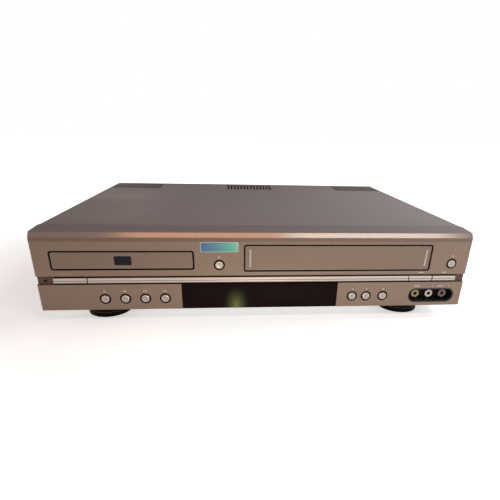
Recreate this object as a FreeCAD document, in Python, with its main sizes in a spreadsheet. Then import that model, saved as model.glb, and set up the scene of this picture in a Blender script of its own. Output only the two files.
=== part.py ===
"""A disc player and cassette deck in one case, as a parametric model in millimetres.

The frame: X to the right seen from the front, Y from the front panel to the back, Z up.
The origin is on the standing surface, under the middle of the overall box. Sub-parts are drawn
from the front plane (Y = 0 on the panel's face), and their Placement moves them by front_y.
"""
import FreeCAD, Part
import math
import os
import re
import Sketcher
from FreeCAD import Rotation, Vector

# Driving dimensions, each written once. They fill the spreadsheet.
SIZES = {
    # the front, from left to right
    "left_margin": 16.1,
    "tray_opening_width": 133.4,
    "middle_width": 48.3,
    "cassette_opening_width": 190.8,
    "right_margin": 41.4,
    # the front, from the floor up
    "foot_height": 12.0,
    "panel_lift": 2.3,
    "lower_panel_height": 26.8,
    "groove_height": 8.7,
    "upper_panel_height": 38.4,
    "bevel_rise": 4.2,
    "crown_rise": 1.6,
    # the front panel as a moulding
    "bevel_run": 2.8,
    "panel_depth": 26.45,
    "panel_wall": 2.5,
    "panel_floor": 12.0,
    "groove_depth": 2.0,
    "groove_side": 1.2,
    "side_chamfer": 1.5,
    "boss_side": 6.0,
    "boss_drop": 4.0,
    "boss_inset": 5.0,
    "boss_beyond": 14.0,
    "lug_width": 14.0,
    "lug_length": 7.0,
    "lug_thickness": 1.6,
    "lug_count": 7,
    # the two doors
    "door_gap": 1.2,
    "corner_radius": 2.0,
    "door_chamfer": 0.4,
    "tray_opening_rise": 6.4,
    "tray_opening_height": 18.75,
    "tray_door_thickness": 3.0,
    "cassette_opening_rise": 4.1,
    "cassette_opening_height": 27.2,
    "leaf_gap": 1.1,
    "leaf_thickness": 2.0,
    "leaf_set_back": 0.2,
    "leaf_rib_width": 1.8,
    "leaf_rib_height": 18.5,
    "leaf_rib_proud": 0.5,
    "leaf_rib_inset": 6.0,
    "hinge_back": 4.5,
    "hinge_rise": 3.9,
    "hinge_pin_radius": 1.2,
    "hinge_boss_radius": 1.8,
    "hinge_lug": 3.3,
    "hinge_lug_gap": 0.6,
    "hinge_pin_length": 9.0,
    "hinge_arm_drop": 8.0,
    "hinge_arm_shoulder": 2.8,
    "hinge_arm_root": 1.6,
    "spring_length": 5.2,
    "spring_wire": 0.9,
    "spring_leg": 9.0,
    "hinge_arm_width": 3.0,
    # display window
    "window_width": 158.0,
    "window_thickness": 2.0,
    "window_rim": 2.5,
    "window_chamfer": 0.3,
    "display_width": 124.0,
    "display_height": 17.0,
    "display_glass_depth": 6.0,
    "display_frame_side": 4.0,
    "display_frame_edge": 1.0,
    # round buttons
    "button_bore": 5.3,
    "button_radius": 4.05,
    "button_proud": 0.5,
    "button_flange": 11.6,
    "button_flange_thickness": 1.2,
    "button_travel": 1.0,
    "stem_side": 3.0,
    "control_rise": 11.7,
    "forward_gap": 16.4,
    "transport_pitch": 19.27,
    "channel_gap": 16.1,
    "channel_pitch": 14.9,
    "record_step": 17.9,
    "open_close_rise": 11.0,
    "eject_rise": 11.5,
    "eject_inset": 18.6,
    # metallic bar in the groove
    "bar_rise": 1.1,
    "bar_height": 5.5,
    "bar_edge": 0.6,
    "bar_notch": 0.7,
    "bar_notch_depth": 0.5,
    "bar_left_inset": 16.0,
    "bar_right_inset": 11.0,
    "power_key_width": 31.5,
    "selector_key_width": 25.4,
    "key_gap": 0.5,
    "key_clearance": 0.35,
    "key_flange_drop": 1.5,
    "key_flange_rise": 1.0,
    "key_switch_drop": 0.6,
    "lamp_inset": 8.3,
    "lamp_radius": 1.2,
    "lamp_gap": 0.1,
    # front sockets
    "socket_panel_width": 50.0,
    "socket_panel_height": 16.0,
    "socket_panel_corner": 7.8,
    "socket_panel_inset": 34.0,
    "socket_panel_wall": 1.4,
    "socket_flange_side": 2.0,
    "socket_flange_drop": 0.9,
    "socket_pitch": 15.0,
    "socket_radius": 4.15,
    "socket_bore": 1.6,
    "socket_floor": 1.0,
    "socket_length": 8.0,
    "socket_set_back": 5.0,
    # front circuit board
    "board_back": 14.5,
    "board_thickness": 1.6,
    "board_lift": 0.7,
    "board_inset": 3.5,
    "switch_side": 6.0,
    "switch_height": 4.0,
    "board_ear_width": 22.0,
    "board_ear_rise": 20.0,
    # case
    "cover_sheet": 0.8,
    "cover_inset": 0.25,
    "chassis_sheet": 1.0,
    "chassis_clearance": 0.3,
    "chassis_front": 5.0,
    "chassis_front_inset": 5.0,
    "chassis_flange": 16.0,
    "cover_drop": 1.0,
    "vent_width": 2.4,
    "vent_length": 45.0,
    "vent_pitch": 5.15,
    "vent_count": 14,
    "vent_back_inset": 9.5,
    "vent_side_inset": 7.0,
    "bottom_vent_width": 3.0,
    "bottom_vent_length": 40.0,
    "bottom_vent_back": 30.0,
    "bottom_vent_count": 8,
    "cover_screw_radius": 1.6,
    "cover_screw_head": 3.4,
    "cover_screw_head_height": 1.8,
    "cover_screw_length": 8.0,
    "cover_bend": 1.2,
    "rear_lip": 1.0,
    "rear_flange": 12.0,
    "rear_screw_inset": 14.0,
    "rear_screw_count": 3,
    "screw_gap": 0.1,
    "rear_reach": 9.0,
    "foot_radius": 22.0,
    "foot_inset_side": 55.0,
    "foot_front": 34.0,
    "foot_back": 45.0,
    # disc loader
    "tray_width": 128.0,
    "tray_thickness": 6.5,
    "tray_length": 159.0,
    "disc_well_radius": 60.5,
    "disc_well_depth": 4.4,
    "small_well_radius": 41.0,
    "small_well_depth": 0.6,
    "disc_centre": 70.0,
    "tray_slot_width": 38.0,
    "tray_slot_bridge": 8.0,
    "rail_width": 1.8,
    "rail_height": 2.0,
    "join_overlap": 0.5,
    "guide_thickness": 1.6,
    "guide_reach": 0.6,
    "rack_module": 1.0,
    "rack_height": 4.0,
    "rack_width": 3.6,
    "rack_lead": 4,
    "rack_inset": 0.2,
    "rack_backlash": 0.12,
    "gear_teeth": 24,
    "gear_back": 18.0,
    "gear_clearance": 0.3,
    "gear_pin_radius": 1.5,
    "gear_boss_wall": 2.0,
    "gear_lift": 1.0,
    "gear_headroom": 0.4,
    "pulley_radius": 14.0,
    "pulley_groove": 1.4,
    "pulley_height": 3.0,
    "pulley_flange": 0.4,
    "motor_pulley_radius": 3.6,
    "motor_radius": 10.5,
    "motor_height": 16.0,
    "motor_shaft_radius": 1.0,
    "motor_hole_gap": 0.8,
    "motor_offset": 8.0,
    "motor_back": 28.0,
    "belt_width": 1.8,
    "belt_thickness": 1.1,
    "loader_half": 71.0,
    "loader_wall": 2.0,
    "loader_floor": 2.0,
    "loader_drop": 10.3,
    "loader_wall_height": 22.0,
    "loader_front": 5.5,
    "loader_length": 162.0,
    "loader_leg": 8.0,
    "loader_leg_front": 22.0,
    "slide_gap": 0.3,
    "bridge_depth": 36.0,
    "bridge_sheet": 1.2,
    "clamp_radius": 15.0,
    "clamp_flange": 1.2,
    "clamp_neck_radius": 12.0,
    "clamp_hole_gap": 0.5,
    "clamp_recess_radius": 8.6,
    "clamp_recess_depth": 2.0,
    # traverse with spindle and pickup
    "traverse_half": 38.0,
    "traverse_front": 44.0,
    "traverse_length": 104.0,
    "traverse_sheet": 2.0,
    "traverse_gap": 0.4,
    "traverse_lift": 6.0,
    "disc_lift": 0.8,
    "disc_thickness": 1.2,
    "turntable_radius": 14.0,
    "turntable_thickness": 1.5,
    "hub_radius": 7.2,
    "hub_height": 2.4,
    "spindle_motor_radius": 11.5,
    "spindle_motor_height": 5.6,
    "pickup_start": 83.5,
    "pickup_length": 22.5,
    "pickup_width": 62.0,
    "pickup_base": 3.9,
    "pickup_head_width": 32.0,
    "pickup_head": 5.2,
    "pickup_follower": 6.0,
    "lens_radius": 2.2,
    "lens_proud": 0.5,
    "bearing_length": 4.0,
    "bearing_end": 0.5,
    "bearing_inset": 2.0,
    "bearing_margin": 3.0,
    "bearing_cap": 1.0,
    "guide_rod_radius": 1.5,
    "guide_rod_offset": 22.0,
    "feed_screw_radius": 1.6,
    "feed_screw_offset": 33.5,
    "feed_screw_gap": 0.2,
    # cassette deck
    "cassette_depth": 104.0,
    "cassette_height": 25.0,
    "holder_front": 38.0,
    "holder_sheet": 1.0,
    "holder_drop": 0.3,
    "holder_side_gap": 0.7,
    "holder_headroom": 0.8,
    "holder_travel": 19.0,
    "holder_pin_radius": 2.0,
    "holder_pin_rise": 10.0,
    "holder_pin_inset": 25.0,
    "holder_pin_beyond": 0.8,
    "holder_open_front": 22.0,
    "holder_open_back": 34.0,
    "holder_edge": 4.0,
    "lamp_window_half": 14.0,
    "lamp_window_front": 20.0,
    "lamp_window_back": 6.0,
    "deck_front": 20.0,
    "deck_side": 9.8,
    "deck_sheet": 1.2,
    "deck_below": 23.6,
    "deck_wall_height": 54.0,
    "deck_leg_width": 12.0,
    "deck_leg_depth": 8.0,
    "deck_leg_side": 14.0,
    "deck_leg_front": 4.0,
    "deck_leg_back": 12.0,
    "deck_wall_beyond": 8.0,
    "shelf_drop": 0.2,
    "shelf_gap": 1.0,
    "drum_gap": 3.0,
    "drum_radius": 31.0,
    "drum_base_height": 16.0,
    "drum_upper_height": 14.0,
    "drum_slot": 0.5,
    "deck_margin": 5.0,
    "reel_spacing": 92.0,
    "reel_back": 55.0,
    "reel_flange_radius": 17.0,
    "reel_flange": 2.8,
    "reel_spindle_radius": 8.0,
    "reel_height": 12.5,
    "reel_window": 19.0,
    "spline_width": 1.6,
    "spline_proud": 1.2,
    "reel_tip": 2.5,
    "capstan_offset": 52.0,
    "capstan_gap": 5.0,
    "capstan_radius": 1.5,
    "capstan_hole_gap": 0.4,
    "capstan_height": 27.0,
    "flywheel_radius": 20.0,
    "flywheel_height": 5.0,
    "roller_radius": 7.0,
    "roller_height": 15.0,
    "arm_length": 26.9,
    "arm_width": 8.0,
    "arm_thickness": 2.0,
    "arm_offset": 80.0,
    "arm_back": 22.0,
    "arm_rise": 7.0,
    "arm_rest_angle": 191.0,
    "arm_hub_radius": 4.5,
    "post_radius": 2.0,
    "post_proud": 1.0,
    # electronics at the back
    "rear_board_gap": 10.0,
    "rear_board_depth": 88.0,
    "rear_gap": 5.2,
    "rear_board_rise": 8.0,
    "board_side_gap": 9.0,
    "supply_board_width": 138.0,
    "supply_board_depth": 118.0,
    "main_board_left": 50.0,
    "transformer_width": 52.0,
    "transformer_depth": 44.0,
    "transformer_height": 42.0,
    "transformer_side": 12.0,
    "transformer_front": 22.0,
    "sink_side": 84.0,
    "sink_width": 44.0,
    "sink_depth": 16.0,
    "sink_height": 34.0,
    "sink_wall": 3.0,
    "sink_fin": 2.0,
    "sink_fins": 6,
    "tuner_width": 58.0,
    "tuner_depth": 40.0,
    "tuner_height": 24.0,
    "aerial_radius": 4.75,
    "aerial_spacing": 20.0,
    "aerial_gap": 1.5,
    "aerial_bore_depth": 6.0,
    "rear_socket_pitch": 16.0,
    "rear_socket_rows": 2,
    "rear_socket_columns": 3,
    "rear_socket_edge": 1.0,
    "rear_socket_space": 14.0,
    "rear_socket_depth": 14.0,
    "inlet_width": 24.0,
    "inlet_height": 14.0,
    "inlet_depth": 16.0,
    "inlet_lobe": 3.8,
    "inlet_pin": 1.2,
    "inlet_well": 10.0,
    "inlet_spacing": 8.6,
    # common clearances, and how far a cut runs past what it cuts
    "seat_gap": 0.3,
    "overshoot": 1.0,
}

# Values worked out from the driving dimensions.
DERIVED = {
    "case_width": "left_margin + tray_opening_width + middle_width"
                  " + cassette_opening_width + right_margin",
    "case_half": "case_width / 2",
    "tray_left": "left_margin - case_half",
    "tray_right": "tray_left + tray_opening_width",
    "tray_middle": "(tray_left + tray_right) / 2",
    "middle_x": "tray_right + middle_width / 2",
    "cassette_left": "tray_right + middle_width",
    "cassette_right": "cassette_left + cassette_opening_width",
    "cassette_middle": "(cassette_left + cassette_right) / 2",
    "panel_bottom": "foot_height + panel_lift",
    "groove_bottom": "panel_bottom + lower_panel_height",
    "groove_top": "groove_bottom + groove_height",
    "bevel_line": "groove_top + upper_panel_height",
    "bevel_top": "bevel_line + bevel_rise",
    "case_top": "bevel_top + crown_rise",
    "cover_under": "case_top - cover_sheet",
    "deck_back": "holder_front + cassette_depth + drum_gap + 2 * drum_radius + deck_margin",
    "rear_board_front": "deck_back + rear_board_gap",
    "rear_board_back": "rear_board_front + rear_board_depth",
    "rear_plane": "rear_board_back + rear_gap",
    "rear_screw_z": "case_top - rear_flange / 2",
    "case_depth": "rear_plane + cover_sheet + rear_lip",
    "front_y": "(button_proud - case_depth - rear_reach) / 2",
    "groove_wall_back": "groove_depth + panel_wall",
    "tray_opening_bottom": "groove_top + tray_opening_rise",
    "tray_opening_top": "tray_opening_bottom + tray_opening_height",
    "cassette_opening_bottom": "groove_top + cassette_opening_rise",
    "cassette_opening_top": "cassette_opening_bottom + cassette_opening_height",
    "hinge_z": "cassette_opening_top + hinge_rise",
    "leaf_back": "leaf_set_back + leaf_thickness",
    "window_half": "window_width / 2",
    "display_z": "(panel_bottom + groove_bottom) / 2",
    "control_z": "panel_bottom + control_rise",
    "forward_x": "0 - window_half - forward_gap",
    "channel_x": "window_half + channel_gap",
    "record_x": "channel_x + channel_pitch + record_step",
    "open_close_z": "groove_top + open_close_rise",
    "eject_z": "groove_top + eject_rise",
    "eject_x": "case_half - eject_inset",
    "button_stem_end": "board_back - switch_height - button_travel - seat_gap",
    "bar_low": "groove_bottom + bar_rise",
    "bar_high": "bar_low + bar_height",
    "bar_z": "(bar_low + bar_high) / 2",
    "bar_left": "bar_left_inset - case_half",
    "bar_right": "case_half - bar_right_inset",
    "power_right": "bar_left + power_key_width",
    "vcr_left": "bar_right - selector_key_width",
    "dvd_left": "vcr_left - selector_key_width",
    "lamp_x": "lamp_inset - case_half",
    "sockets_x": "case_half - socket_panel_inset",
    "board_front": "board_back - switch_height",
    "board_low": "panel_bottom + panel_wall + board_lift",
    "board_high": "groove_top - seat_gap",
    "board_side": "case_half - panel_wall - board_inset",
    "chassis_under": "foot_height",
    "chassis_top": "chassis_under + chassis_sheet",
    "cover_half": "case_half - cover_inset",
    "chassis_half": "cover_half - cover_sheet - chassis_clearance",
    "cover_low": "chassis_under + cover_drop",
    "tray_front": "tray_door_thickness",
    "tray_bottom": "tray_opening_bottom + door_gap + rack_height - rack_inset",
    "tray_top": "tray_bottom + tray_thickness",
    "tray_end": "tray_front + tray_length",
    "well_floor": "tray_top - disc_well_depth",
    "disc_plane": "well_floor + disc_lift",
    "seat_z": "disc_plane - traverse_lift",
    "rack_low": "tray_bottom - rack_height",
    "gear_radius": "rack_module * gear_teeth / 2",
    "rack_pitch_x": "tray_middle - tray_width / 2 + rack_width",
    "gear_x": "rack_pitch_x + gear_radius + gear_clearance",
    "motor_x": "tray_middle - motor_offset",
    "loader_under": "tray_bottom - loader_drop",
    "loader_top": "loader_under + loader_floor",
    "loader_rim": "loader_under + loader_wall_height",
    "loader_back": "loader_front + loader_length",
    "pulley_low": "loader_top + gear_lift",
    "gear_low": "pulley_low + pulley_height",
    "traverse_low": "seat_z - turntable_thickness - spindle_motor_height - seat_gap"
                    " - traverse_sheet",
    "traverse_top": "traverse_low + traverse_sheet",
    "traverse_back": "traverse_front + traverse_length",
    "rod_z": "traverse_top + guide_rod_radius + seat_gap",
    "rod_front": "pickup_start - bearing_length - slide_gap - bearing_end",
    "rod_length": "traverse_back - bearing_end - rod_front",
    "clamp_low": "disc_plane + disc_thickness + seat_gap",
    "holder_floor": "cassette_opening_bottom - holder_drop",
    "holder_half": "cassette_opening_width / 2 + holder_side_gap + holder_sheet",
    "holder_back": "holder_front + cassette_depth",
    "holder_top": "holder_floor + cassette_height + holder_headroom",
    "holder_pin_z": "holder_floor + holder_pin_rise",
    "deck_top": "holder_floor - deck_below",
    "deck_under": "deck_top - deck_sheet",
    "deck_half": "cassette_opening_width / 2 + deck_side",
    "drum_y": "holder_back + drum_gap + drum_radius",
    "reel_y": "holder_front + reel_back",
    "capstan_x": "cassette_middle + capstan_offset",
    "capstan_y": "holder_back + capstan_gap",
    "arm_x": "cassette_middle + arm_offset",
    "arm_y": "capstan_y + arm_back",
    "arm_z": "deck_top + arm_rise",
    "roller_x": "arm_x + arm_length * cos(arm_rest_angle * 1 deg)",
    "roller_y": "arm_y + arm_length * sin(arm_rest_angle * 1 deg)",
    "rear_board_low": "chassis_top + rear_board_rise",
    "rear_board_top": "rear_board_low + board_thickness",
    "rear_half": "chassis_half - chassis_sheet - seat_gap",
    "tuner_x": "rear_half - board_side_gap - tuner_width / 2",
    "tuner_back": "rear_plane - seat_gap",
    "aerial_z": "rear_board_top + tuner_height / 2",
    "rear_sockets_width": "rear_socket_pitch * rear_socket_columns",
    "rear_sockets_x": "tuner_x - tuner_width / 2 - rear_sockets_width / 2 - rear_socket_space",
    "rear_sockets_low": "rear_board_top",
    "rear_sockets_high": "rear_sockets_low + rear_socket_pitch * rear_socket_rows",
    "inlet_x": "board_side_gap - rear_half + inlet_width",
    "inlet_low": "rear_board_top",
    "supply_left": "board_side_gap - rear_half",
    "supply_front": "rear_board_back - supply_board_depth",
}

# Where each round button sits: across the panel and above the floor.
ROUND_BUTTONS = {
    "open_close_button": ("middle_x", "open_close_z"),
    "eject_button": ("eject_x", "eject_z"),
    "stop_button": ("forward_x - 3 * transport_pitch", "control_z"),
    "rewind_button": ("forward_x - 2 * transport_pitch", "control_z"),
    "play_button": ("forward_x - transport_pitch", "control_z"),
    "forward_button": ("forward_x", "control_z"),
    "channel_down_button": ("channel_x", "control_z"),
    "channel_up_button": ("channel_x + channel_pitch", "control_z"),
    "record_button": ("record_x", "control_z"),
}

# The keys that are pieces of the metallic bar: left end and right end.
BAR_KEYS = {
    "power_button": ("bar_left", "power_right - key_gap"),
    "dvd_select_button": ("dvd_left + key_gap", "vcr_left"),
    "vcr_select_button": ("vcr_left + key_gap", "bar_right"),
}

# Where the holder's two pins on each side run, behind the front plane.
HOLDER_PINS = ("holder_front + holder_pin_inset", "holder_back - holder_pin_inset")

# Blocks on the main board: from its left edge, from its front edge, side, height.
MAIN_CHIPS = ((56, 14, 28, 3), (102, 10, 20, 2.4), (146, 18, 24, 2.4), (16, 40, 14, 2))

# Round capacitors on the main board: from its left edge, from its front edge, radius, height.
MAIN_CAPACITORS = ((184, 16, 6, 15), (200, 16, 5, 13), (214, 16, 5, 13))

# Round capacitors on the supply board: from its left edge, from its front edge, radius, height.
SUPPLY_CAPACITORS = ((100, 50, 12.5, 30), (124, 78, 8, 24), (104, 84, 8, 24))

PLANES = {"front": "XZ_Plane", "plan": "XY_Plane", "side": "YZ_Plane"}

doc = FreeCAD.newDocument("player")
sheet = doc.addObject("Spreadsheet::Sheet", "Sizes")
parts = []


def fill_sheet():
    """One row per driving dimension: its name, and its value under that alias."""
    for row, (alias, size) in enumerate(SIZES.items(), 1):
        sheet.set(f"A{row}", alias)
        sheet.set(f"B{row}", str(size))
        sheet.setAlias(f"B{row}", alias)
    doc.recompute()


def expand(text):
    """The text as an expression on the sheet's cells, with derived names written out."""
    def cell(match):
        word = match.group()
        if word in DERIVED:
            return "(" + expand(DERIVED[word]) + ")"
        return "Sizes." + word if word in SIZES else word
    return re.sub(r"[a-z_][a-z_0-9]*", cell, str(text))


def value(text):
    """What an expression comes to, in millimetres."""
    return float(sheet.evalExpression(expand(text)))


def bind(thing, **sizes):
    """Ties properties to expressions; a double underscore stands for a dot in the path."""
    for name, text in sizes.items():
        thing.setExpression(name.replace("__", "."), expand(text))


def finish(thing, label, x="0", y="0", z="0"):
    """Names a sub-part and moves it from the drawing's front plane to the model's frame."""
    thing.Label = label
    bind(thing, Placement__Base__x=x, Placement__Base__y=f"front_y + {y}", Placement__Base__z=z)
    parts.append(thing)
    return thing


# Solids by primitives and booleans

def block(name, x, y, z, width, depth, height):
    """A rectangular block from its left, front, lower corner."""
    box = doc.addObject("Part::Box", name)
    bind(box, Length=width, Width=depth, Height=height)
    bind(box, Placement__Base__x=x, Placement__Base__y=y, Placement__Base__z=z)
    return box


def rod(name, x, y, z, radius, length, along="z"):
    """A cylinder from the centre of its lower, front or left end."""
    turns = {"z": Rotation(), "y": Rotation(Vector(1, 0, 0), -90), "x": Rotation(Vector(0, 1, 0), 90)}
    cylinder = doc.addObject("Part::Cylinder", name)
    cylinder.Placement.Rotation = turns[along]
    bind(cylinder, Radius=radius, Height=length)
    bind(cylinder, Placement__Base__x=x, Placement__Base__y=y, Placement__Base__z=z)
    return cylinder


def fuse(name, *solids):
    """Several solids as one."""
    union = doc.addObject("Part::MultiFuse", name)
    union.Shapes = list(solids)
    return union


def cut(name, base, *tools):
    """A solid with one or more others taken away."""
    hollow = doc.addObject("Part::Cut", name)
    hollow.Base = base
    hollow.Tool = tools[0] if len(tools) == 1 else fuse(name + "_tools", *tools)
    return hollow


# Bodies by sketches and features

def new_body(name):
    """An empty body."""
    return doc.addObject("PartDesign::Body", name)


def new_sketch(body, name, view, at="0"):
    """A sketch in front, plan or side view, at a distance along the view's own axis."""
    sketch = body.newObject("Sketcher::SketchObject", name)
    plane = next(f for f in body.Origin.OriginFeatures if f.Role == PLANES[view])
    sketch.AttachmentSupport = [(plane, "")]
    sketch.MapMode = "FlatFace"
    offset = f"0 - ({at})" if view == "front" else at
    bind(sketch, AttachmentOffset__Base__z=offset)
    return sketch


def hold(sketch, geometry, point, across, up):
    """Holds one point of a sketch at two distances from its origin."""
    for kind, text in (("DistanceX", across), ("DistanceY", up)):
        index = sketch.addConstraint(Sketcher.Constraint(kind, -1, 1, geometry, point, value(text)))
        sketch.setExpression(f"Constraints[{index}]", expand(text))


def outline(sketch, points):
    """A closed outline of straight lines through points given across and up."""
    places = [Vector(value(across), value(up), 0) for across, up in points]
    first = sketch.GeometryCount
    count = len(points)
    for index in range(count):
        sketch.addGeometry(Part.LineSegment(places[index], places[(index + 1) % count]), False)
    for index in range(count):
        following = first + (index + 1) % count
        sketch.addConstraint(Sketcher.Constraint("Coincident", first + index, 2, following, 1))
    for index, (across, up) in enumerate(points):
        hold(sketch, first + index, 1, across, up)


def rectangle(sketch, left, low, right, high):
    """A rectangle between two corners."""
    outline(sketch, [(left, low), (right, low), (right, high), (left, high)])


def square(sketch, across, up, side):
    """A square about its centre."""
    half = f"({side}) / 2"
    rectangle(sketch, f"{across} - {half}", f"{up} - {half}", f"{across} + {half}", f"{up} + {half}")


def circle(sketch, across, up, radius):
    """A circle about its centre."""
    centre = Vector(value(across), value(up), 0)
    shape = Part.Circle(centre, Vector(0, 0, 1), value(radius))
    index = sketch.addGeometry(shape, False)
    size = sketch.addConstraint(Sketcher.Constraint("Radius", index, value(radius)))
    sketch.setExpression(f"Constraints[{size}]", expand(radius))
    hold(sketch, index, 3, across, up)


def rounded(sketch, left, low, right, high, radius):
    """A rectangle with equal round corners: four lines and four arcs, tangent in turn."""
    x0, y0, x1, y1, corner = (value(text) for text in (left, low, right, high, radius))
    ends = [(x0 + corner, y0), (x1 - corner, y0), (x1, y0 + corner), (x1, y1 - corner),
            (x1 - corner, y1), (x0 + corner, y1), (x0, y1 - corner), (x0, y0 + corner)]
    centres = [(x1 - corner, y0 + corner), (x1 - corner, y1 - corner),
               (x0 + corner, y1 - corner), (x0 + corner, y0 + corner)]
    first = sketch.GeometryCount
    for index in range(4):
        start, end = ends[2 * index], ends[2 * index + 1]
        sketch.addGeometry(Part.LineSegment(Vector(*start, 0), Vector(*end, 0)), False)
    for index, centre in enumerate(centres):
        begin = (index - 1) * math.pi / 2
        ring = Part.Circle(Vector(*centre, 0), Vector(0, 0, 1), corner)
        sketch.addGeometry(Part.ArcOfCircle(ring, begin, begin + math.pi / 2), False)
    for index in range(4):
        arc = first + 4 + index
        following = first + (index + 1) % 4
        sketch.addConstraint(Sketcher.Constraint("Tangent", first + index, 2, arc, 1))
        sketch.addConstraint(Sketcher.Constraint("Tangent", arc, 2, following, 1))
        sketch.addConstraint(Sketcher.Constraint(("Horizontal", "Vertical")[index % 2], first + index))
    for index in range(1, 4):
        sketch.addConstraint(Sketcher.Constraint("Equal", first + 4, first + 4 + index))
    held = [("Radius", (first + 4,), radius), ("DistanceX", (-1, 1, first + 3, 1), left),
            ("DistanceX", (-1, 1, first + 1, 1), right), ("DistanceY", (-1, 1, first, 1), low),
            ("DistanceY", (-1, 1, first + 2, 1), high)]
    for kind, where, text in held:
        index = sketch.addConstraint(Sketcher.Constraint(kind, *where, value(text)))
        sketch.setExpression(f"Constraints[{index}]", expand(text))


def pad(body, name, sketch, length, backward=False):
    """Material from a sketch, along the view's own axis; a front view pads away from the viewer."""
    feature = body.newObject("PartDesign::Pad", name)
    feature.Profile = sketch
    feature.Reversed = (sketch.AttachmentSupport[0][0].Role == PLANES["front"]) != backward
    bind(feature, Length=length)
    return feature


def pocket(body, name, sketch, length, backward=False):
    """A cut from a sketch: inward from the front, down from a plan, to the left from a side view."""
    feature = body.newObject("PartDesign::Pocket", name)
    feature.Profile = sketch
    feature.Reversed = backward
    bind(feature, Length=length)
    return feature


def revolve(body, name, sketch, axis):
    """Material turned fully about one of the body's axes."""
    feature = body.newObject("PartDesign::Revolution", name)
    feature.Profile = sketch
    feature.ReferenceAxis = (next(f for f in body.Origin.OriginFeatures if f.Role == axis), [""])
    feature.Angle = 360
    return feature


def repeat(body, name, feature, sketch, axis, spacing, count):
    """A feature repeated at even steps along one of its sketch's axes."""
    pattern = body.newObject("PartDesign::LinearPattern", name)
    pattern.Originals = [feature]
    pattern.Direction = (sketch, [axis])
    pattern.Mode = "Spacing"
    bind(pattern, Offset=spacing, Occurrences=count)
    body.Tip = pattern
    return pattern


def break_edges(body, kind, name, feature, size, chosen):
    """Chamfers or fillets on the edges of a feature that the test chooses."""
    doc.recompute()
    names = [f"Edge{number}" for number, edge in enumerate(feature.Shape.Edges, 1) if chosen(edge)]
    blend = body.newObject("PartDesign::" + kind, name)
    blend.Base = (feature, names)
    bind(blend, **{"Size" if kind == "Chamfer" else "Radius": size})
    return blend


def on_plane(edge, y):
    """Whether an edge lies in the plane at that distance behind the front."""
    return abs(edge.BoundBox.YMin - y) < 1e-4 and abs(edge.BoundBox.YMax - y) < 1e-4


# Front panel and what sits in it

def front_panel():
    """The moulded panel: a shell open to the back, with its groove, openings, bosses and lugs."""
    body = new_body("front_panel")
    profile = new_sketch(body, "panel_profile", "side", "0 - case_half")
    outline(profile, [
        ("0", "panel_bottom"), ("0", "groove_bottom"), ("groove_depth", "groove_bottom"),
        ("groove_depth", "groove_top"), ("0", "groove_top"), ("0", "bevel_line"),
        ("bevel_run", "bevel_top"), ("panel_depth", "case_top"), ("panel_depth", "panel_bottom")])
    outer = pad(body, "panel_outer", profile, "case_width")
    slack = 0.01
    reach = value("bevel_run") + slack
    half = value("case_half")
    ends = break_edges(body, "Chamfer", "panel_ends", outer, "side_chamfer", lambda edge: (
        abs(abs(edge.BoundBox.Center.x) - half) < 1e-4 and edge.BoundBox.XLength < 1e-4
        and edge.BoundBox.YMax < reach and edge.BoundBox.YMin < 1e-4
        and edge.BoundBox.ZLength > value("bevel_rise") - slack))
    hollow = new_sketch(body, "panel_hollow", "side", "panel_wall - case_half")
    outline(hollow, [
        ("panel_wall", "panel_bottom + panel_wall"), ("panel_wall", "groove_bottom - panel_wall"),
        ("groove_wall_back", "groove_bottom - panel_wall"),
        ("groove_wall_back", "groove_top + panel_wall"), ("panel_wall", "groove_top + panel_wall"),
        ("panel_wall", "bevel_line - panel_wall / 2"), ("bevel_run + panel_wall", "bevel_top - panel_wall"),
        ("panel_depth + overshoot", "case_top - panel_wall"),
        ("panel_depth + overshoot", "panel_bottom - overshoot"),
        ("panel_floor", "panel_bottom - overshoot"), ("panel_floor", "panel_bottom + panel_wall")])
    pocket(body, "panel_inside", hollow, "case_width - 2 * panel_wall", backward=True)
    window_seat(body)
    panel_openings(body)
    panel_bosses(body)
    return finish(body, "front_panel")


def window_seat(body):
    """A step that the display window lies in, with an aperture for the display behind it."""
    frame = new_sketch(body, "seat_frame", "front", "window_thickness")
    rectangle(frame, "0 - window_half - window_rim", "panel_bottom + panel_wall / 2",
              "window_half + window_rim", "groove_bottom - panel_wall / 2")
    pad(body, "seat_wall", frame, "panel_wall")
    recess = new_sketch(body, "seat_recess", "front", "0")
    rectangle(recess, "0 - window_half", "panel_bottom - overshoot", "window_half", "groove_bottom")
    pocket(body, "seat_step", recess, "window_thickness")
    aperture = new_sketch(body, "seat_aperture", "front", "window_thickness")
    rectangle(aperture, "0 - display_width / 2 - seat_gap", "display_z - display_height / 2 - seat_gap",
              "display_width / 2 + seat_gap", "display_z + display_height / 2 + seat_gap")
    pocket(body, "seat_window", aperture, "panel_wall + overshoot")


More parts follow.
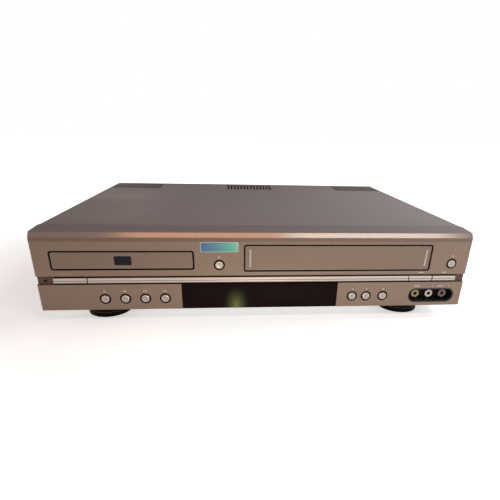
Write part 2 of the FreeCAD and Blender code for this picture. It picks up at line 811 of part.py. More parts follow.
def panel_openings(body):
    """The two door openings, the holes of buttons, keys and lamp, and the socket opening."""
    doors = new_sketch(body, "door_openings", "front", "0")
    rounded(doors, "tray_left", "tray_opening_bottom", "tray_right", "tray_opening_top", "corner_radius")
    rounded(doors, "cassette_left", "cassette_opening_bottom", "cassette_right",
            "cassette_opening_top", "corner_radius")
    rounded(doors, "sockets_x - socket_panel_width / 2", "control_z - socket_panel_height / 2",
            "sockets_x + socket_panel_width / 2", "control_z + socket_panel_height / 2",
            "socket_panel_corner")
    for across, up in ROUND_BUTTONS.values():
        circle(doors, across, up, "button_bore")
    pocket(body, "openings", doors, "panel_wall + overshoot")
    keys = new_sketch(body, "key_openings", "front", "groove_depth")
    for left, right in BAR_KEYS.values():
        rectangle(keys, f"{left} - key_clearance", "bar_low - key_clearance",
                  f"{right} + key_clearance", "bar_high + key_clearance")
    circle(keys, "lamp_x", "bar_z", "lamp_radius + lamp_gap")
    pocket(body, "key_holes", keys, "panel_wall + overshoot")
    sides = new_sketch(body, "groove_ends", "front", "0 - overshoot")
    rectangle(sides, "0 - case_half - overshoot", "groove_bottom", "groove_side - case_half",
              "groove_top")
    rectangle(sides, "case_half - groove_side", "groove_bottom", "case_half + overshoot", "groove_top")
    pocket(body, "groove_returns", sides, "panel_depth + 2 * overshoot")


def panel_bosses(body):
    """Bosses that carry the circuit board, hinge lugs of the cassette door, lugs under the cover."""
    bosses = new_sketch(body, "boss_plan", "front", "panel_wall / 2")
    for across in ("forward_x - 7 / 2 * transport_pitch", "forward_x - transport_pitch / 2",
                   "record_x + boss_beyond", "boss_inset - board_side"):
        square(bosses, across, "control_z - boss_drop", "boss_side")
    square(bosses, "board_side - boss_side / 2", "groove_top + boss_side / 2", "boss_side")
    pad(body, "bosses", bosses, "board_back - panel_wall / 2")
    for side, inner, outer in (
            ("left", "cassette_left - hinge_arm_width", "cassette_left - hinge_lug_gap"),
            ("right", "cassette_right + hinge_lug_gap", "cassette_right + hinge_arm_width")):
        lug = new_sketch(body, side + "_lug", "side", inner)
        rectangle(lug, "panel_wall / 2", "cassette_opening_top - lug_thickness",
                  "hinge_back + hinge_lug", "hinge_z + hinge_lug")
        circle(lug, "hinge_back", "hinge_z", "hinge_pin_radius + seat_gap")
        pad(body, side + "_hinge_lug", lug, f"({outer}) - ({inner})")
    clips = new_sketch(body, "clip_plan", "plan", "cover_under - lug_thickness")
    step = "(case_width - 3 * lug_width) / (lug_count - 1)"
    rectangle(clips, "lug_width - case_half", "panel_depth - panel_wall",
              "2 * lug_width - case_half", "panel_depth + lug_length")
    clip = pad(body, "clip", clips, "lug_thickness - seat_gap / 2")
    repeat(body, "clips", clip, clips, "H_Axis", step, "lug_count")


def display_window():
    """A flat dark pane that fills the middle of the lower panel."""
    body = new_body("display_window")
    pane = new_sketch(body, "pane_outline", "front", "0")
    rectangle(pane, "seat_gap / 2 - window_half", "panel_bottom",
              "window_half - seat_gap / 2", "groove_bottom - seat_gap / 2")
    plate = pad(body, "pane", pane, "window_thickness")
    break_edges(body, "Chamfer", "pane_chamfer", plate, "window_chamfer",
                lambda edge: on_plane(edge, 0))
    return finish(body, "display_window")


def bar_profile(sketch, back):
    """The bar in side view: two flat bands with a notch between them and eased outer edges."""
    outline(sketch, [
        (back, "bar_low"), ("bar_edge", "bar_low"), ("0", "bar_low + bar_edge"),
        ("0", "bar_z - bar_notch / 2"), ("bar_notch_depth", "bar_z"),
        ("0", "bar_z + bar_notch / 2"), ("0", "bar_high - bar_edge"),
        ("bar_edge", "bar_high"), (back, "bar_high")])


def trim_bar():
    """The long fixed piece of the metallic bar, on the floor of the groove."""
    body = new_body("trim_bar")
    profile = new_sketch(body, "trim_profile", "side", "power_right")
    bar_profile(profile, "groove_depth")
    pad(body, "trim", profile, "dvd_left - power_right")
    return finish(body, "trim_bar")


def bar_key(name, left, right):
    """A piece of the bar that is pressed in: its cap, a flange behind the wall, and a stem."""
    body = new_body(name)
    profile = new_sketch(body, name + "_profile", "side", left)
    bar_profile(profile, "groove_wall_back + seat_gap")
    pad(body, name + "_cap", profile, f"({right}) - ({left})")
    flange = new_sketch(body, name + "_flange_outline", "front", "groove_wall_back + seat_gap")
    rectangle(flange, left, "bar_low - key_flange_drop", right, "bar_high + key_flange_rise")
    pad(body, name + "_flange", flange, "button_flange_thickness")
    stem = new_sketch(body, name + "_stem_outline", "front", "groove_wall_back + seat_gap")
    square(stem, f"(({left}) + ({right})) / 2", "bar_z", "stem_side")
    pad(body, name + "_stem", stem, "button_stem_end - groove_wall_back - seat_gap")
    return finish(body, name)


def round_button(name, across, up):
    """A turned cap, a square flange behind the wall, and a stem to the switch."""
    body = new_body(name)
    back = "panel_wall + seat_gap"
    profile = new_sketch(body, name + "_profile", "plan")
    rectangle(profile, "0", "0 - button_proud", "button_radius", back)
    revolve(body, name + "_cap", profile, "Y_Axis")
    flange = new_sketch(body, name + "_flange_outline", "front", back)
    square(flange, "0", "0", "button_flange")
    pad(body, name + "_flange", flange, "button_flange_thickness")
    stem = new_sketch(body, name + "_stem_outline", "front", back)
    square(stem, "0", "0", "stem_side")
    pad(body, name + "_stem", stem, f"button_stem_end - ({back})")
    return finish(body, name, x=across, z=up)


def standby_lamp():
    """A light pipe from the circuit board to the groove."""
    pipe = rod("standby_lamp", "0", "0", "0", "lamp_radius", "board_back - groove_depth / 2", along="y")
    return finish(pipe, "standby_lamp", x="lamp_x", y="groove_depth / 2", z="bar_z")


def socket_panel():
    """The black moulding round the front sockets: a deep cup with a flange behind the wall."""
    body = new_body("front_socket_panel")
    left, right = "sockets_x - socket_panel_width / 2", "sockets_x + socket_panel_width / 2"
    low, high = "control_z - socket_panel_height / 2", "control_z + socket_panel_height / 2"
    outer = new_sketch(body, "cup_outline", "front", "seat_gap")
    rounded(outer, f"{left} + seat_gap / 2", f"{low} + seat_gap / 2", f"{right} - seat_gap / 2",
            f"{high} - seat_gap / 2", "socket_panel_corner - seat_gap / 2")
    pad(body, "cup", outer, "board_back - seat_gap")
    flange = new_sketch(body, "cup_flange_outline", "front", "panel_wall")
    rectangle(flange, f"{left} - socket_flange_side", f"{low} - socket_flange_drop",
              f"{right} + socket_flange_side", f"{high} + socket_flange_side")
    pad(body, "cup_flange", flange, "socket_panel_wall")
    inner = new_sketch(body, "cup_inside_outline", "front", "0")
    rounded(inner, f"{left} + socket_panel_wall", f"{low} + socket_panel_wall",
            f"{right} - socket_panel_wall", f"{high} - socket_panel_wall",
            "socket_panel_corner - socket_panel_wall")
    pocket(body, "cup_inside", inner, "socket_set_back + socket_length")
    return finish(body, "front_socket_panel")


def phono_socket(name, across):
    """One socket: a barrel with a blind bore."""
    body = new_body(name)
    profile = new_sketch(body, name + "_profile", "plan")
    root = "socket_set_back + socket_length"
    outline(profile, [
        ("0", f"{root} - socket_floor"), ("socket_bore", f"{root} - socket_floor"),
        ("socket_bore", "socket_set_back"), ("socket_radius", "socket_set_back"),
        ("socket_radius", root), ("0", root)])
    revolve(body, name + "_barrel", profile, "Y_Axis")
    return finish(body, name, x=across, z="control_z")


def front_circuit_board():
    """The board behind the panel, with an ear up to each upper button and a switch at each key."""
    body = new_body("front_circuit_board")
    shape = new_sketch(body, "board_outline", "front", "board_back")
    ear_left, ear_right = "middle_x - board_ear_width / 2", "middle_x + board_ear_width / 2"
    ear_top = "board_high + board_ear_rise"
    outline(shape, [
        ("0 - board_side", "board_low"), ("board_side", "board_low"), ("board_side", ear_top),
        ("board_side - board_ear_width", ear_top), ("board_side - board_ear_width", "board_high"),
        (ear_right, "board_high"), (ear_right, ear_top), (ear_left, ear_top),
        (ear_left, "board_high"), ("0 - board_side", "board_high")])
    pad(body, "board", shape, "board_thickness")
    switches = new_sketch(body, "switch_outlines", "front", "board_front")
    for across, up in ROUND_BUTTONS.values():
        square(switches, across, up, "switch_side")
    for left, right in BAR_KEYS.values():
        square(switches, f"(({left}) + ({right})) / 2", "bar_z - key_switch_drop", "switch_side")
    pad(body, "switches", switches, "switch_height")
    return finish(body, "front_circuit_board")


def display_module():
    """The fluorescent display: its glass in the aperture, and the frame that holds it."""
    glass = block("display_glass", "0 - display_width / 2", "window_thickness + seat_gap",
                  "display_z - display_height / 2", "display_width", "display_glass_depth",
                  "display_height")
    frame = block("display_frame", "0 - display_width / 2 - display_frame_side",
                  "groove_wall_back + seat_gap", "display_z - display_height / 2 - display_frame_edge",
                  "display_width + 2 * display_frame_side", "board_back - groove_wall_back - seat_gap",
                  "display_height + 2 * display_frame_edge")
    return finish(fuse("display_module", glass, frame), "display_module")


# The case

def base_chassis():
    """The folded base tray, with its side flanges, front lip, standoffs and bottom slots."""
    body = new_body("base_chassis")
    fold = new_sketch(body, "fold_profile", "front", "panel_depth + seat_gap")
    top = "chassis_under + chassis_flange"
    inner = "chassis_half - chassis_sheet"
    outline(fold, [
        ("0 - chassis_half", "chassis_under"), ("chassis_half", "chassis_under"),
        ("chassis_half", top), (inner, top), (inner, "chassis_top"),
        (f"0 - ({inner})", "chassis_top"), (f"0 - ({inner})", top), ("0 - chassis_half", top)])
    pad(body, "fold", fold, "rear_plane + cover_sheet - panel_depth - seat_gap")
    front = new_sketch(body, "front_outline", "plan", "chassis_under")
    side = "case_half - chassis_front_inset"
    rectangle(front, f"0 - ({side})", "chassis_front", side, "panel_depth + overshoot")
    pad(body, "front_apron", front, "chassis_sheet")
    lip = new_sketch(body, "lip_outline", "plan", "chassis_under")
    rectangle(lip, f"0 - ({side})", "chassis_front", side, "chassis_front + chassis_sheet")
    pad(body, "front_lip", lip, "panel_lift")
    posts = new_sketch(body, "standoffs_outline", "plan", "chassis_top")
    for left, right, depth in (
            ("board_side_gap - rear_half", "board_side_gap - rear_half + supply_board_width",
             "supply_board_depth"),
            ("0 - main_board_left", "rear_half - board_side_gap", "rear_board_depth")):
        for across in (f"{left} + boss_side", f"{right} - boss_side"):
            for back in (f"rear_board_back - {depth} + boss_side", "rear_board_back - boss_side"):
                square(posts, across, back, "boss_side")
    pad(body, "standoffs", posts, "rear_board_rise")
    slot = new_sketch(body, "bottom_slot", "plan", "chassis_top")
    left, back = "0 - case_half / 2 - bottom_vent_length", "rear_board_back - bottom_vent_back"
    rectangle(slot, left, f"{back} - bottom_vent_length", f"{left} + bottom_vent_width", back)
    opening = pocket(body, "slot", slot, "chassis_sheet + overshoot")
    repeat(body, "slots", opening, slot, "H_Axis", "vent_pitch * 2", "bottom_vent_count")
    return finish(body, "base_chassis")


def rear_panel():
    """The steel back, with openings for the sockets, the aerial terminals and the mains inlet."""
    body = new_body("rear_panel")
    sheet_outline = new_sketch(body, "rear_outline", "front", "rear_plane")
    rectangle(sheet_outline, "0 - rear_half", "chassis_top", "rear_half", "cover_under - seat_gap")
    pad(body, "rear_sheet", sheet_outline, "cover_sheet")
    holes = new_sketch(body, "rear_openings", "front", "rear_plane")
    rectangle(holes, "rear_sockets_x - rear_sockets_width / 2 + rear_socket_edge",
              "rear_sockets_low + rear_socket_edge",
              "rear_sockets_x + rear_sockets_width / 2 - rear_socket_edge",
              "rear_sockets_high - rear_socket_edge")
    room = "(aerial_radius + aerial_gap)"
    rectangle(holes, f"tuner_x - aerial_spacing / 2 - {room}", f"aerial_z - {room}",
              f"tuner_x + aerial_spacing / 2 + {room}", f"aerial_z + {room}")
    rectangle(holes, "inlet_x - inlet_width / 2", "inlet_low", "inlet_x + inlet_width / 2",
              "inlet_low + inlet_height")
    screw_holes(holes)
    pocket(body, "rear_holes", holes, "cover_sheet + overshoot")
    return finish(body, "rear_panel")


def top_cover():
    """The folded steel cover: top, sides, rear flange, and three groups of vent slots."""
    body = new_body("top_cover")
    front = "panel_depth + seat_gap / 2"
    fold = new_sketch(body, "cover_profile", "front", front)
    inner_half, inner_top = "cover_half - cover_sheet", "case_top - cover_sheet"
    bend, inner_bend = "cover_bend", "cover_bend - cover_sheet / 2"
    outline(fold, [
        ("0 - cover_half", "cover_low"), (f"0 - ({inner_half})", "cover_low"),
        (f"0 - ({inner_half})", f"{inner_top} - ({inner_bend})"),
        (f"{inner_bend} - ({inner_half})", inner_top), (f"{inner_half} - ({inner_bend})", inner_top),
        (inner_half, f"{inner_top} - ({inner_bend})"), (inner_half, "cover_low"),
        ("cover_half", "cover_low"), ("cover_half", f"case_top - {bend}"),
        (f"cover_half - {bend}", "case_top"), (f"{bend} - cover_half", "case_top"),
        ("0 - cover_half", f"case_top - {bend}")])
    pad(body, "cover_shell", fold, f"case_depth - ({front})")
    flange = new_sketch(body, "rear_flange_outline", "front", "rear_plane + cover_sheet")
    rectangle(flange, "cover_bend - cover_half", "case_top - rear_flange", "cover_half - cover_bend",
              "case_top - cover_sheet / 2")
    screw_holes(flange)
    pad(body, "rear_flange", flange, "cover_sheet")
    first_vents = (
        "vent_side_inset - case_half", "0 - (vent_count - 1) * vent_pitch / 2",
        "case_half - vent_side_inset - (vent_count - 1) * vent_pitch")
    for number, first in enumerate(first_vents, 1):
        slot = new_sketch(body, f"vent_{number}_outline", "plan", "case_top")
        rectangle(slot, f"{first} - vent_width / 2", "case_depth - vent_back_inset - vent_length",
                  f"{first} + vent_width / 2", "case_depth - vent_back_inset")
        vent = pocket(body, f"vent_{number}", slot, "cover_sheet + overshoot")
        repeat(body, f"vents_{number}", vent, slot, "H_Axis", "vent_pitch", "vent_count")
    return finish(body, "top_cover")


def screw_places():
    """Where the cover's screws sit across the back, at even steps."""
    return [f"(cover_half - rear_screw_inset) * ({number} * 2 / (rear_screw_count - 1) - 1)"
            for number in range(int(value("rear_screw_count")))]


def screw_holes(sketch):
    """The clearance holes of the cover's screws."""
    for across in screw_places():
        circle(sketch, across, "rear_screw_z", "cover_screw_radius + screw_gap")


def cover_screws():
    """Screws through the rear flange: a flat head outside and a shank into the back."""
    screws = []
    for number, across in enumerate(screw_places()):
        screws.append(rod(f"screw_head_{number}", across, "rear_plane + 2 * cover_sheet",
                          "rear_screw_z", "cover_screw_head", "cover_screw_head_height", along="y"))
        screws.append(rod(f"screw_shank_{number}", across, "rear_plane - cover_screw_length",
                          "rear_screw_z", "cover_screw_radius",
                          "cover_screw_length + 2 * cover_sheet", along="y"))
    return finish(fuse("cover_screws", *screws), "cover_screws")


def feet():
    """Four round feet, under the corners."""
    posts = [rod(f"foot_{side}_{end}", across, back, "0", "foot_radius", "foot_height")
             for side, across in (("left", "foot_inset_side - case_half"),
                                  ("right", "case_half - foot_inset_side"))
             for end, back in (("front", "foot_front"), ("rear", "case_depth - foot_back"))]
    return finish(fuse("feet", *posts), "feet")


# The disc loader

def disc_tray():
    """The tray: its disc wells, pickup slot, side rails, and the rack under its left edge."""
    body = new_body("disc_tray")
    left, right = "tray_middle - tray_width / 2", "tray_middle + tray_width / 2"
    plate = new_sketch(body, "tray_outline", "plan", "tray_bottom")
    rectangle(plate, left, "tray_front", right, "tray_end")
    pad(body, "tray_plate", plate, "tray_thickness")
    rails = new_sketch(body, "rail_outlines", "plan", "tray_bottom")
    rectangle(rails, f"{left} - rail_width", "tray_front", f"{left} + join_overlap", "tray_end")
    rectangle(rails, f"{right} - join_overlap", "tray_front", f"{right} + rail_width", "tray_end")
    pad(body, "rails", rails, "rail_height")
    strip = new_sketch(body, "rack_outline", "plan", "rack_low")
    rectangle(strip, f"{left} + rack_inset", "tray_front + rack_inset",
              "rack_pitch_x + rack_module", "tray_end")
    pad(body, "rack_strip", strip, "rack_height + join_overlap")
    well = new_sketch(body, "well_outline", "plan", "tray_top")
    circle(well, "tray_middle", "disc_centre", "disc_well_radius")
    pocket(body, "well", well, "disc_well_depth")
    small = new_sketch(body, "small_well_outline", "plan", "well_floor")
    circle(small, "tray_middle", "disc_centre", "small_well_radius")
    pocket(body, "small_well", small, "small_well_depth")
    slot = new_sketch(body, "slot_outline", "plan", "tray_top")
    half = "tray_slot_width / 2"
    rounded(slot, f"tray_middle - {half}", f"disc_centre - {half}", f"tray_middle + {half}",
            "tray_end - tray_slot_bridge", "tray_slot_width / 4")
    pocket(body, "slot_through", slot, "tray_thickness + overshoot")
    channel = new_sketch(body, "channel_outline", "plan", "tray_top")
    rectangle(channel, f"tray_middle - {half}", "disc_centre", f"tray_middle + {half}",
              "tray_end + overshoot")
    pocket(body, "clamp_channel", channel, "disc_well_depth")
    rack_teeth(body)
    return finish(body, "disc_tray")


def rack_teeth(body):
    """Gaps of a 20 degree rack, one pitch apart to the tray's end; one faces the gear at rest."""
    gap = new_sketch(body, "tooth_gap", "plan", "rack_low + rack_height")
    first = "gear_back - rack_lead * pi * rack_module"
    quarter = "(pi * rack_module / 4 + rack_backlash)"
    tip_half = f"({quarter} + rack_module * tan(20 deg))"
    root_half = f"({quarter} - 1.25 * rack_module * tan(20 deg))"
    tip, root = "rack_pitch_x + rack_module", "rack_pitch_x - 1.25 * rack_module"
    outline(gap, [(tip, f"{first} - {tip_half}"), (tip, f"{first} + {tip_half}"),
                  (root, f"{first} + {root_half}"), (root, f"{first} - {root_half}")])
    tooth = pocket(body, "tooth", gap, "rack_height + overshoot")
    count = f"floor((tray_end - ({first}) + {tip_half}) / (pi * rack_module)) + 1"
    repeat(body, "teeth", tooth, gap, "V_Axis", "pi * rack_module", count)


def tray_door():
    """The front of the tray, with its front edges broken."""
    body = new_body("tray_door")
    face = new_sketch(body, "tray_door_outline", "front", "0")
    rounded(face, "tray_left + door_gap", "tray_opening_bottom + door_gap", "tray_right - door_gap",
            "tray_opening_top - door_gap", "corner_radius - door_gap / 2")
    plate = pad(body, "tray_door_plate", face, "tray_door_thickness")
    break_edges(body, "Chamfer", "tray_door_chamfer", plate, "door_chamfer",
                lambda edge: on_plane(edge, 0))
    return finish(body, "tray_door")


def loader_frame():
    """The moulded frame: floor with the traverse aperture, walls, tray guides, legs, gear pin."""
    body = new_body("dvd_loader_frame")
    left, right = "tray_middle - loader_half", "tray_middle + loader_half"
    floor = new_sketch(body, "loader_outline", "plan", "loader_under")
    rectangle(floor, left, "loader_front", right, "loader_back")
    pad(body, "loader_plate", floor, "loader_floor")
    walls = new_sketch(body, "loader_walls_outline", "plan", "loader_under")
    rectangle(walls, left, "loader_front", f"{left} + loader_wall", "loader_back")
    rectangle(walls, f"{right} - loader_wall", "loader_front", right, "loader_back")
    pad(body, "loader_walls", walls, "loader_wall_height")
    for name, low in (("lower", "tray_bottom - slide_gap - guide_thickness"),
                      ("upper", "tray_bottom + rail_height + slide_gap")):
        guide = new_sketch(body, name + "_guide_outline", "plan", low)
        reach = "tray_width / 2 + guide_reach"
        rectangle(guide, f"{left} + loader_wall / 2", "loader_front", f"tray_middle - ({reach})",
                  "loader_back")
        rectangle(guide, f"tray_middle + {reach}", "loader_front", f"{right} - loader_wall / 2",
                  "loader_back")
        pad(body, name + "_guides", guide, "guide_thickness")
    back = new_sketch(body, "loader_back_outline", "plan", "loader_under")
    rectangle(back, left, "loader_back - loader_wall", right, "loader_back")
    pad(body, "loader_back_wall", back, "loader_wall_height")
    legs = new_sketch(body, "loader_legs_outline", "plan", "chassis_top")
    for across in (f"{left} + loader_leg", f"{right} - loader_leg"):
        for along in ("loader_leg_front", "loader_back - loader_leg"):
            square(legs, across, along, "loader_leg")
    pad(body, "loader_legs", legs, "loader_under + loader_floor / 2 - chassis_top")
    aperture = new_sketch(body, "traverse_aperture", "plan", "loader_top")
    rectangle(aperture, "tray_middle - traverse_half - traverse_gap", "traverse_front - traverse_gap",
              "tray_middle + traverse_half + traverse_gap", "traverse_back + traverse_gap")
    circle(aperture, "motor_x", "motor_back", "motor_pulley_radius + motor_hole_gap")
    pocket(body, "loader_openings", aperture, "loader_floor + overshoot")
    boss = new_sketch(body, "gear_boss_outline", "plan", "loader_top - loader_floor / 2")
    circle(boss, "gear_x", "gear_back", "gear_pin_radius + gear_boss_wall")
    pad(body, "gear_boss", boss, "gear_lift - seat_gap + loader_floor / 2")
    pin = new_sketch(body, "gear_pin_outline", "plan", "loader_top")
    circle(pin, "gear_x", "gear_back", "gear_pin_radius")
    pad(body, "gear_pin", pin, "tray_bottom - loader_top - gear_headroom")
    return finish(body, "dvd_loader_frame")


def involute_teeth():
    """One closed outline of teeth: each flank two chords inside its involute, met at the pitch line."""
    module, count = value("rack_module"), int(value("gear_teeth"))
    pressure = math.radians(20)
    pitch = value("gear_radius")
    base, tip, root = pitch * math.cos(pressure), pitch + module, pitch - 1.25 * module
    half_tooth = math.pi / (2 * count) - value("rack_backlash") / pitch

    def flank(radius):
        """Half the tooth's angle at a radius, from the involute of the base circle."""
        turn = math.acos(min(1, base / radius))
        return half_tooth + (math.tan(pressure) - pressure) - (math.tan(turn) - turn)

    def point(radius, angle):
        return Vector(radius * math.cos(angle), radius * math.sin(angle), 0)

    places = []
    for number in range(count):
        middle = 2 * math.pi * number / count
        places += [point(r, middle - flank(max(r, base))) for r in (root, pitch, tip)]
        places += [point(r, middle + flank(max(r, base))) for r in (tip, pitch, root)]
    return Part.makePolygon(places + places[:1])


def drive_gear():
    """The tray's gear, whose lower face closes the groove of the belt pulley under it."""
    height = value("tray_bottom - gear_headroom - gear_low")
    low, rim = value("pulley_height"), value("pulley_radius")
    flange, groove = value("pulley_flange"), value("pulley_radius - pulley_groove")
    teeth = Part.Face(involute_teeth()).extrude(Vector(0, 0, height))
    teeth.translate(Vector(0, 0, low))
    profile = [(0, 0), (rim, 0), (rim, flange), (groove, flange), (groove, low), (0, low)]
    places = [Vector(radius, 0, rise) for radius, rise in profile]
    disc = Part.Face(Part.makePolygon(places + places[:1])).revolve(Vector(), Vector(0, 0, 1), 360)
    bore = Part.makeCylinder(value("gear_pin_radius + slide_gap / 2"), low + height)
    gear = doc.addObject("Part::Feature", "tray_drive_gear")
    gear.Shape = disc.fuse(teeth).cut(bore)
    return finish(gear, "tray_drive_gear", x="gear_x", y="gear_back", z="pulley_low")


def tray_motor():
    """A can motor under the loader's floor."""
    can = rod("motor_can", "0", "0", "0", "motor_radius", "motor_height")
    return finish(can, "tray_motor", x="motor_x", y="motor_back", z="loader_under - motor_height")


def motor_pulley():
    """The motor's shaft with the belt's pulley on it, flanged at the top."""
    body = new_body("motor_pulley")
    profile = new_sketch(body, "motor_pulley_profile", "front")
    groove = "motor_pulley_radius - pulley_groove"
    low, high = "slide_gap - loader_floor", "gear_lift + pulley_height"
    outline(profile, [
        ("0", low), ("motor_shaft_radius", low), ("motor_shaft_radius", "gear_lift"),
        (groove, "gear_lift"), (groove, f"{high} - pulley_flange"),
        ("motor_pulley_radius", f"{high} - pulley_flange"), ("motor_pulley_radius", high), ("0", high)])
    revolve(body, "motor_pulley_turned", profile, "Z_Axis")
    return finish(body, "motor_pulley", x="motor_x", y="motor_back", z="loader_top")


def belt_loop(radius_one, radius_two, run, slope):
    """A face inside a belt line: two arcs, joined by the two straight runs tangent to both."""
    spread = math.acos((radius_one - radius_two) / run)
    far = Vector(run * math.cos(slope), run * math.sin(slope), 0)

    def on(centre, radius, angle):
        return centre + Vector(radius * math.cos(angle), radius * math.sin(angle), 0)

    upper, lower, away = slope + spread, slope - spread, slope + math.pi
    a, b = on(Vector(), radius_one, upper), on(Vector(), radius_one, lower)
    c, d = on(far, radius_two, lower), on(far, radius_two, upper)
    return Part.Face(Part.Wire([
        Part.Arc(a, on(Vector(), radius_one, away), b).toShape(), Part.LineSegment(b, c).toShape(),
        Part.Arc(c, on(far, radius_two, slope), d).toShape(), Part.LineSegment(d, a).toShape()]))


def tray_belt():
    """The belt from the motor's pulley to the gear's, in both grooves."""
    across, back = value("motor_x - gear_x"), value("motor_back - gear_back")
    run, slope = math.hypot(across, back), math.atan2(back, across)
    gap, thick = value("slide_gap"), value("belt_thickness")
    big = value("pulley_radius - pulley_groove") + gap
    small = value("motor_pulley_radius - pulley_groove") + gap
    ring = belt_loop(big + thick, small + thick, run, slope).cut(belt_loop(big, small, run, slope))
    belt = doc.addObject("Part::Feature", "tray_belt")
    belt.Shape = ring.extrude(Vector(0, 0, value("belt_width")))
    return finish(belt, "tray_belt", x="gear_x", y="gear_back",
                  z="pulley_low + (pulley_height - belt_width) / 2")


def traverse_frame():
    """The lifting plate that carries the spindle motor and the bearing blocks of the pickup."""
    body = new_body("traverse_frame")
    plate = new_sketch(body, "traverse_outline", "plan", "traverse_low")
    rectangle(plate, "tray_middle - traverse_half", "traverse_front", "tray_middle + traverse_half",
              "traverse_back")
    pad(body, "traverse_plate", plate, "traverse_sheet")
    blocks = new_sketch(body, "bearing_outlines", "plan", "traverse_top")
    inner, outer = "guide_rod_offset - bearing_margin", "traverse_half - bearing_inset"
    near = "pickup_start - bearing_end"
    for low, high in ((f"{near} - bearing_length", near),
                      ("traverse_back - bearing_length", "traverse_back")):
        rectangle(blocks, f"tray_middle - ({outer})", low, f"tray_middle - ({inner})", high)
        rectangle(blocks, f"tray_middle + {inner}", low, f"tray_middle + {outer}", high)
    pad(body, "bearing_blocks", blocks, "2 * guide_rod_radius + seat_gap + bearing_cap")
    seats = new_sketch(body, "bearing_seats", "front", "rod_front - overshoot")
    for across, radius in (("tray_middle - guide_rod_offset", "guide_rod_radius"),
                           ("tray_middle + guide_rod_offset", "guide_rod_radius"),
                           ("tray_middle + feed_screw_offset", "feed_screw_radius + feed_screw_gap")):
        rectangle(seats, f"{across} - ({radius})", f"rod_z - ({radius})", f"{across} + {radius}",
                  "rod_z + guide_rod_radius + bearing_cap + overshoot")
    pocket(body, "rod_seats", seats, "rod_length + 2 * overshoot")
    motor = new_sketch(body, "spindle_motor_outline", "plan", "traverse_top")
    circle(motor, "tray_middle", "disc_centre", "spindle_motor_radius")
    pad(body, "spindle_motor", motor, "spindle_motor_height")
    return finish(body, "traverse_frame")


def turntable():
    """The disc's seat with its centring hub."""
    body = new_body("turntable")
    profile = new_sketch(body, "turntable_profile", "front")
    outline(profile, [
        ("0", "0 - turntable_thickness"), ("turntable_radius", "0 - turntable_thickness"),
        ("turntable_radius", "0"), ("hub_radius", "0"), ("hub_radius", "hub_height"),
        ("0", "hub_height")])
    revolve(body, "turntable_turned", profile, "Z_Axis")
    return finish(body, "turntable", x="tray_middle", y="disc_centre", z="seat_z")


def guide_rods():
    """The two rods that the pickup slides on."""
    rods = [rod("guide_rod_" + side, f"tray_middle {sign} guide_rod_offset", "rod_front", "rod_z",
                "guide_rod_radius", "rod_length", along="y")
            for side, sign in (("left", "-"), ("right", "+"))]
    return finish(fuse("guide_rods", *rods), "guide_rods")


def feed_screw():
    """The screw that drives the pickup, in the bearing blocks."""
    screw = rod("feed_screw", "0", "0", "0", "feed_screw_radius", "rod_length", along="y")
    return finish(screw, "feed_screw", x="tray_middle + feed_screw_offset", y="rod_front", z="rod_z")


def pickup_sled():
    """The sliding pickup: a base astride the rods, a raised head, the lens, and the screw's follower."""
    low = "traverse_top + slide_gap"
    base = block("pickup_base_block", "tray_middle - pickup_width / 2", "pickup_start", low,
                 "pickup_width", "pickup_length", "pickup_base")
    head = block("pickup_head_block", "tray_middle - pickup_head_width / 2", "pickup_start", low,
                 "pickup_head_width", "pickup_length", "pickup_head")
    lens = rod("pickup_lens", "tray_middle", "pickup_start + pickup_length / 2", low,
               "lens_radius", "pickup_head + lens_proud")
    over = "rod_z + feed_screw_radius + slide_gap"
    follower = block("pickup_follower", "tray_middle + pickup_width / 2 - join_overlap",
                     "pickup_start + pickup_length / 2", over, "pickup_follower", "pickup_follower",
                     f"{low} + pickup_base - ({over})")
    room = "(guide_rod_radius + slide_gap)"
    bores = [block("pickup_channel_" + side, f"tray_middle {sign} guide_rod_offset - {room}",
                   "pickup_start - overshoot", f"{low} - overshoot", f"2 * {room}",
                   "pickup_length + 2 * overshoot", f"rod_z + {room} - ({low}) + overshoot")
             for side, sign in (("left", "-"), ("right", "+"))]
    solid = fuse("pickup_solid", base, head, lens, follower)
    return finish(cut("pickup_sled", solid, *bores), "pickup_sled")


def clamp_bridge():
    """The steel strip over the tray, with a hole for the clamp."""
    strip = block("bridge_strip", "tray_middle - loader_half", "disc_centre - bridge_depth / 2",
                  "loader_rim", "2 * loader_half", "bridge_depth", "bridge_sheet")
    hole = rod("bridge_hole", "tray_middle", "disc_centre", "loader_rim - overshoot",
               "clamp_neck_radius + clamp_hole_gap", "bridge_sheet + 2 * overshoot")
    return finish(cut("clamp_bridge", strip, hole), "clamp_bridge")


def disc_clamp():
    """The loose clamp: a neck with a recess for the hub, and a flange that rests on the bridge."""
    body = new_body("disc_clamp")
    profile = new_sketch(body, "clamp_profile", "front")
    rest = "loader_rim + bridge_sheet + seat_gap - clamp_low"
    outline(profile, [
        ("0", "clamp_recess_depth"), ("clamp_recess_radius", "clamp_recess_depth"),
        ("clamp_recess_radius", "0"), ("clamp_neck_radius", "0"), ("clamp_neck_radius", rest),
        ("clamp_radius", rest), ("clamp_radius", f"{rest} + clamp_flange"),
        ("0", f"{rest} + clamp_flange")])
    revolve(body, "clamp_turned", profile, "Z_Axis")
    return finish(body, "disc_clamp", x="tray_middle", y="disc_centre", z="clamp_low")


# The cassette deck

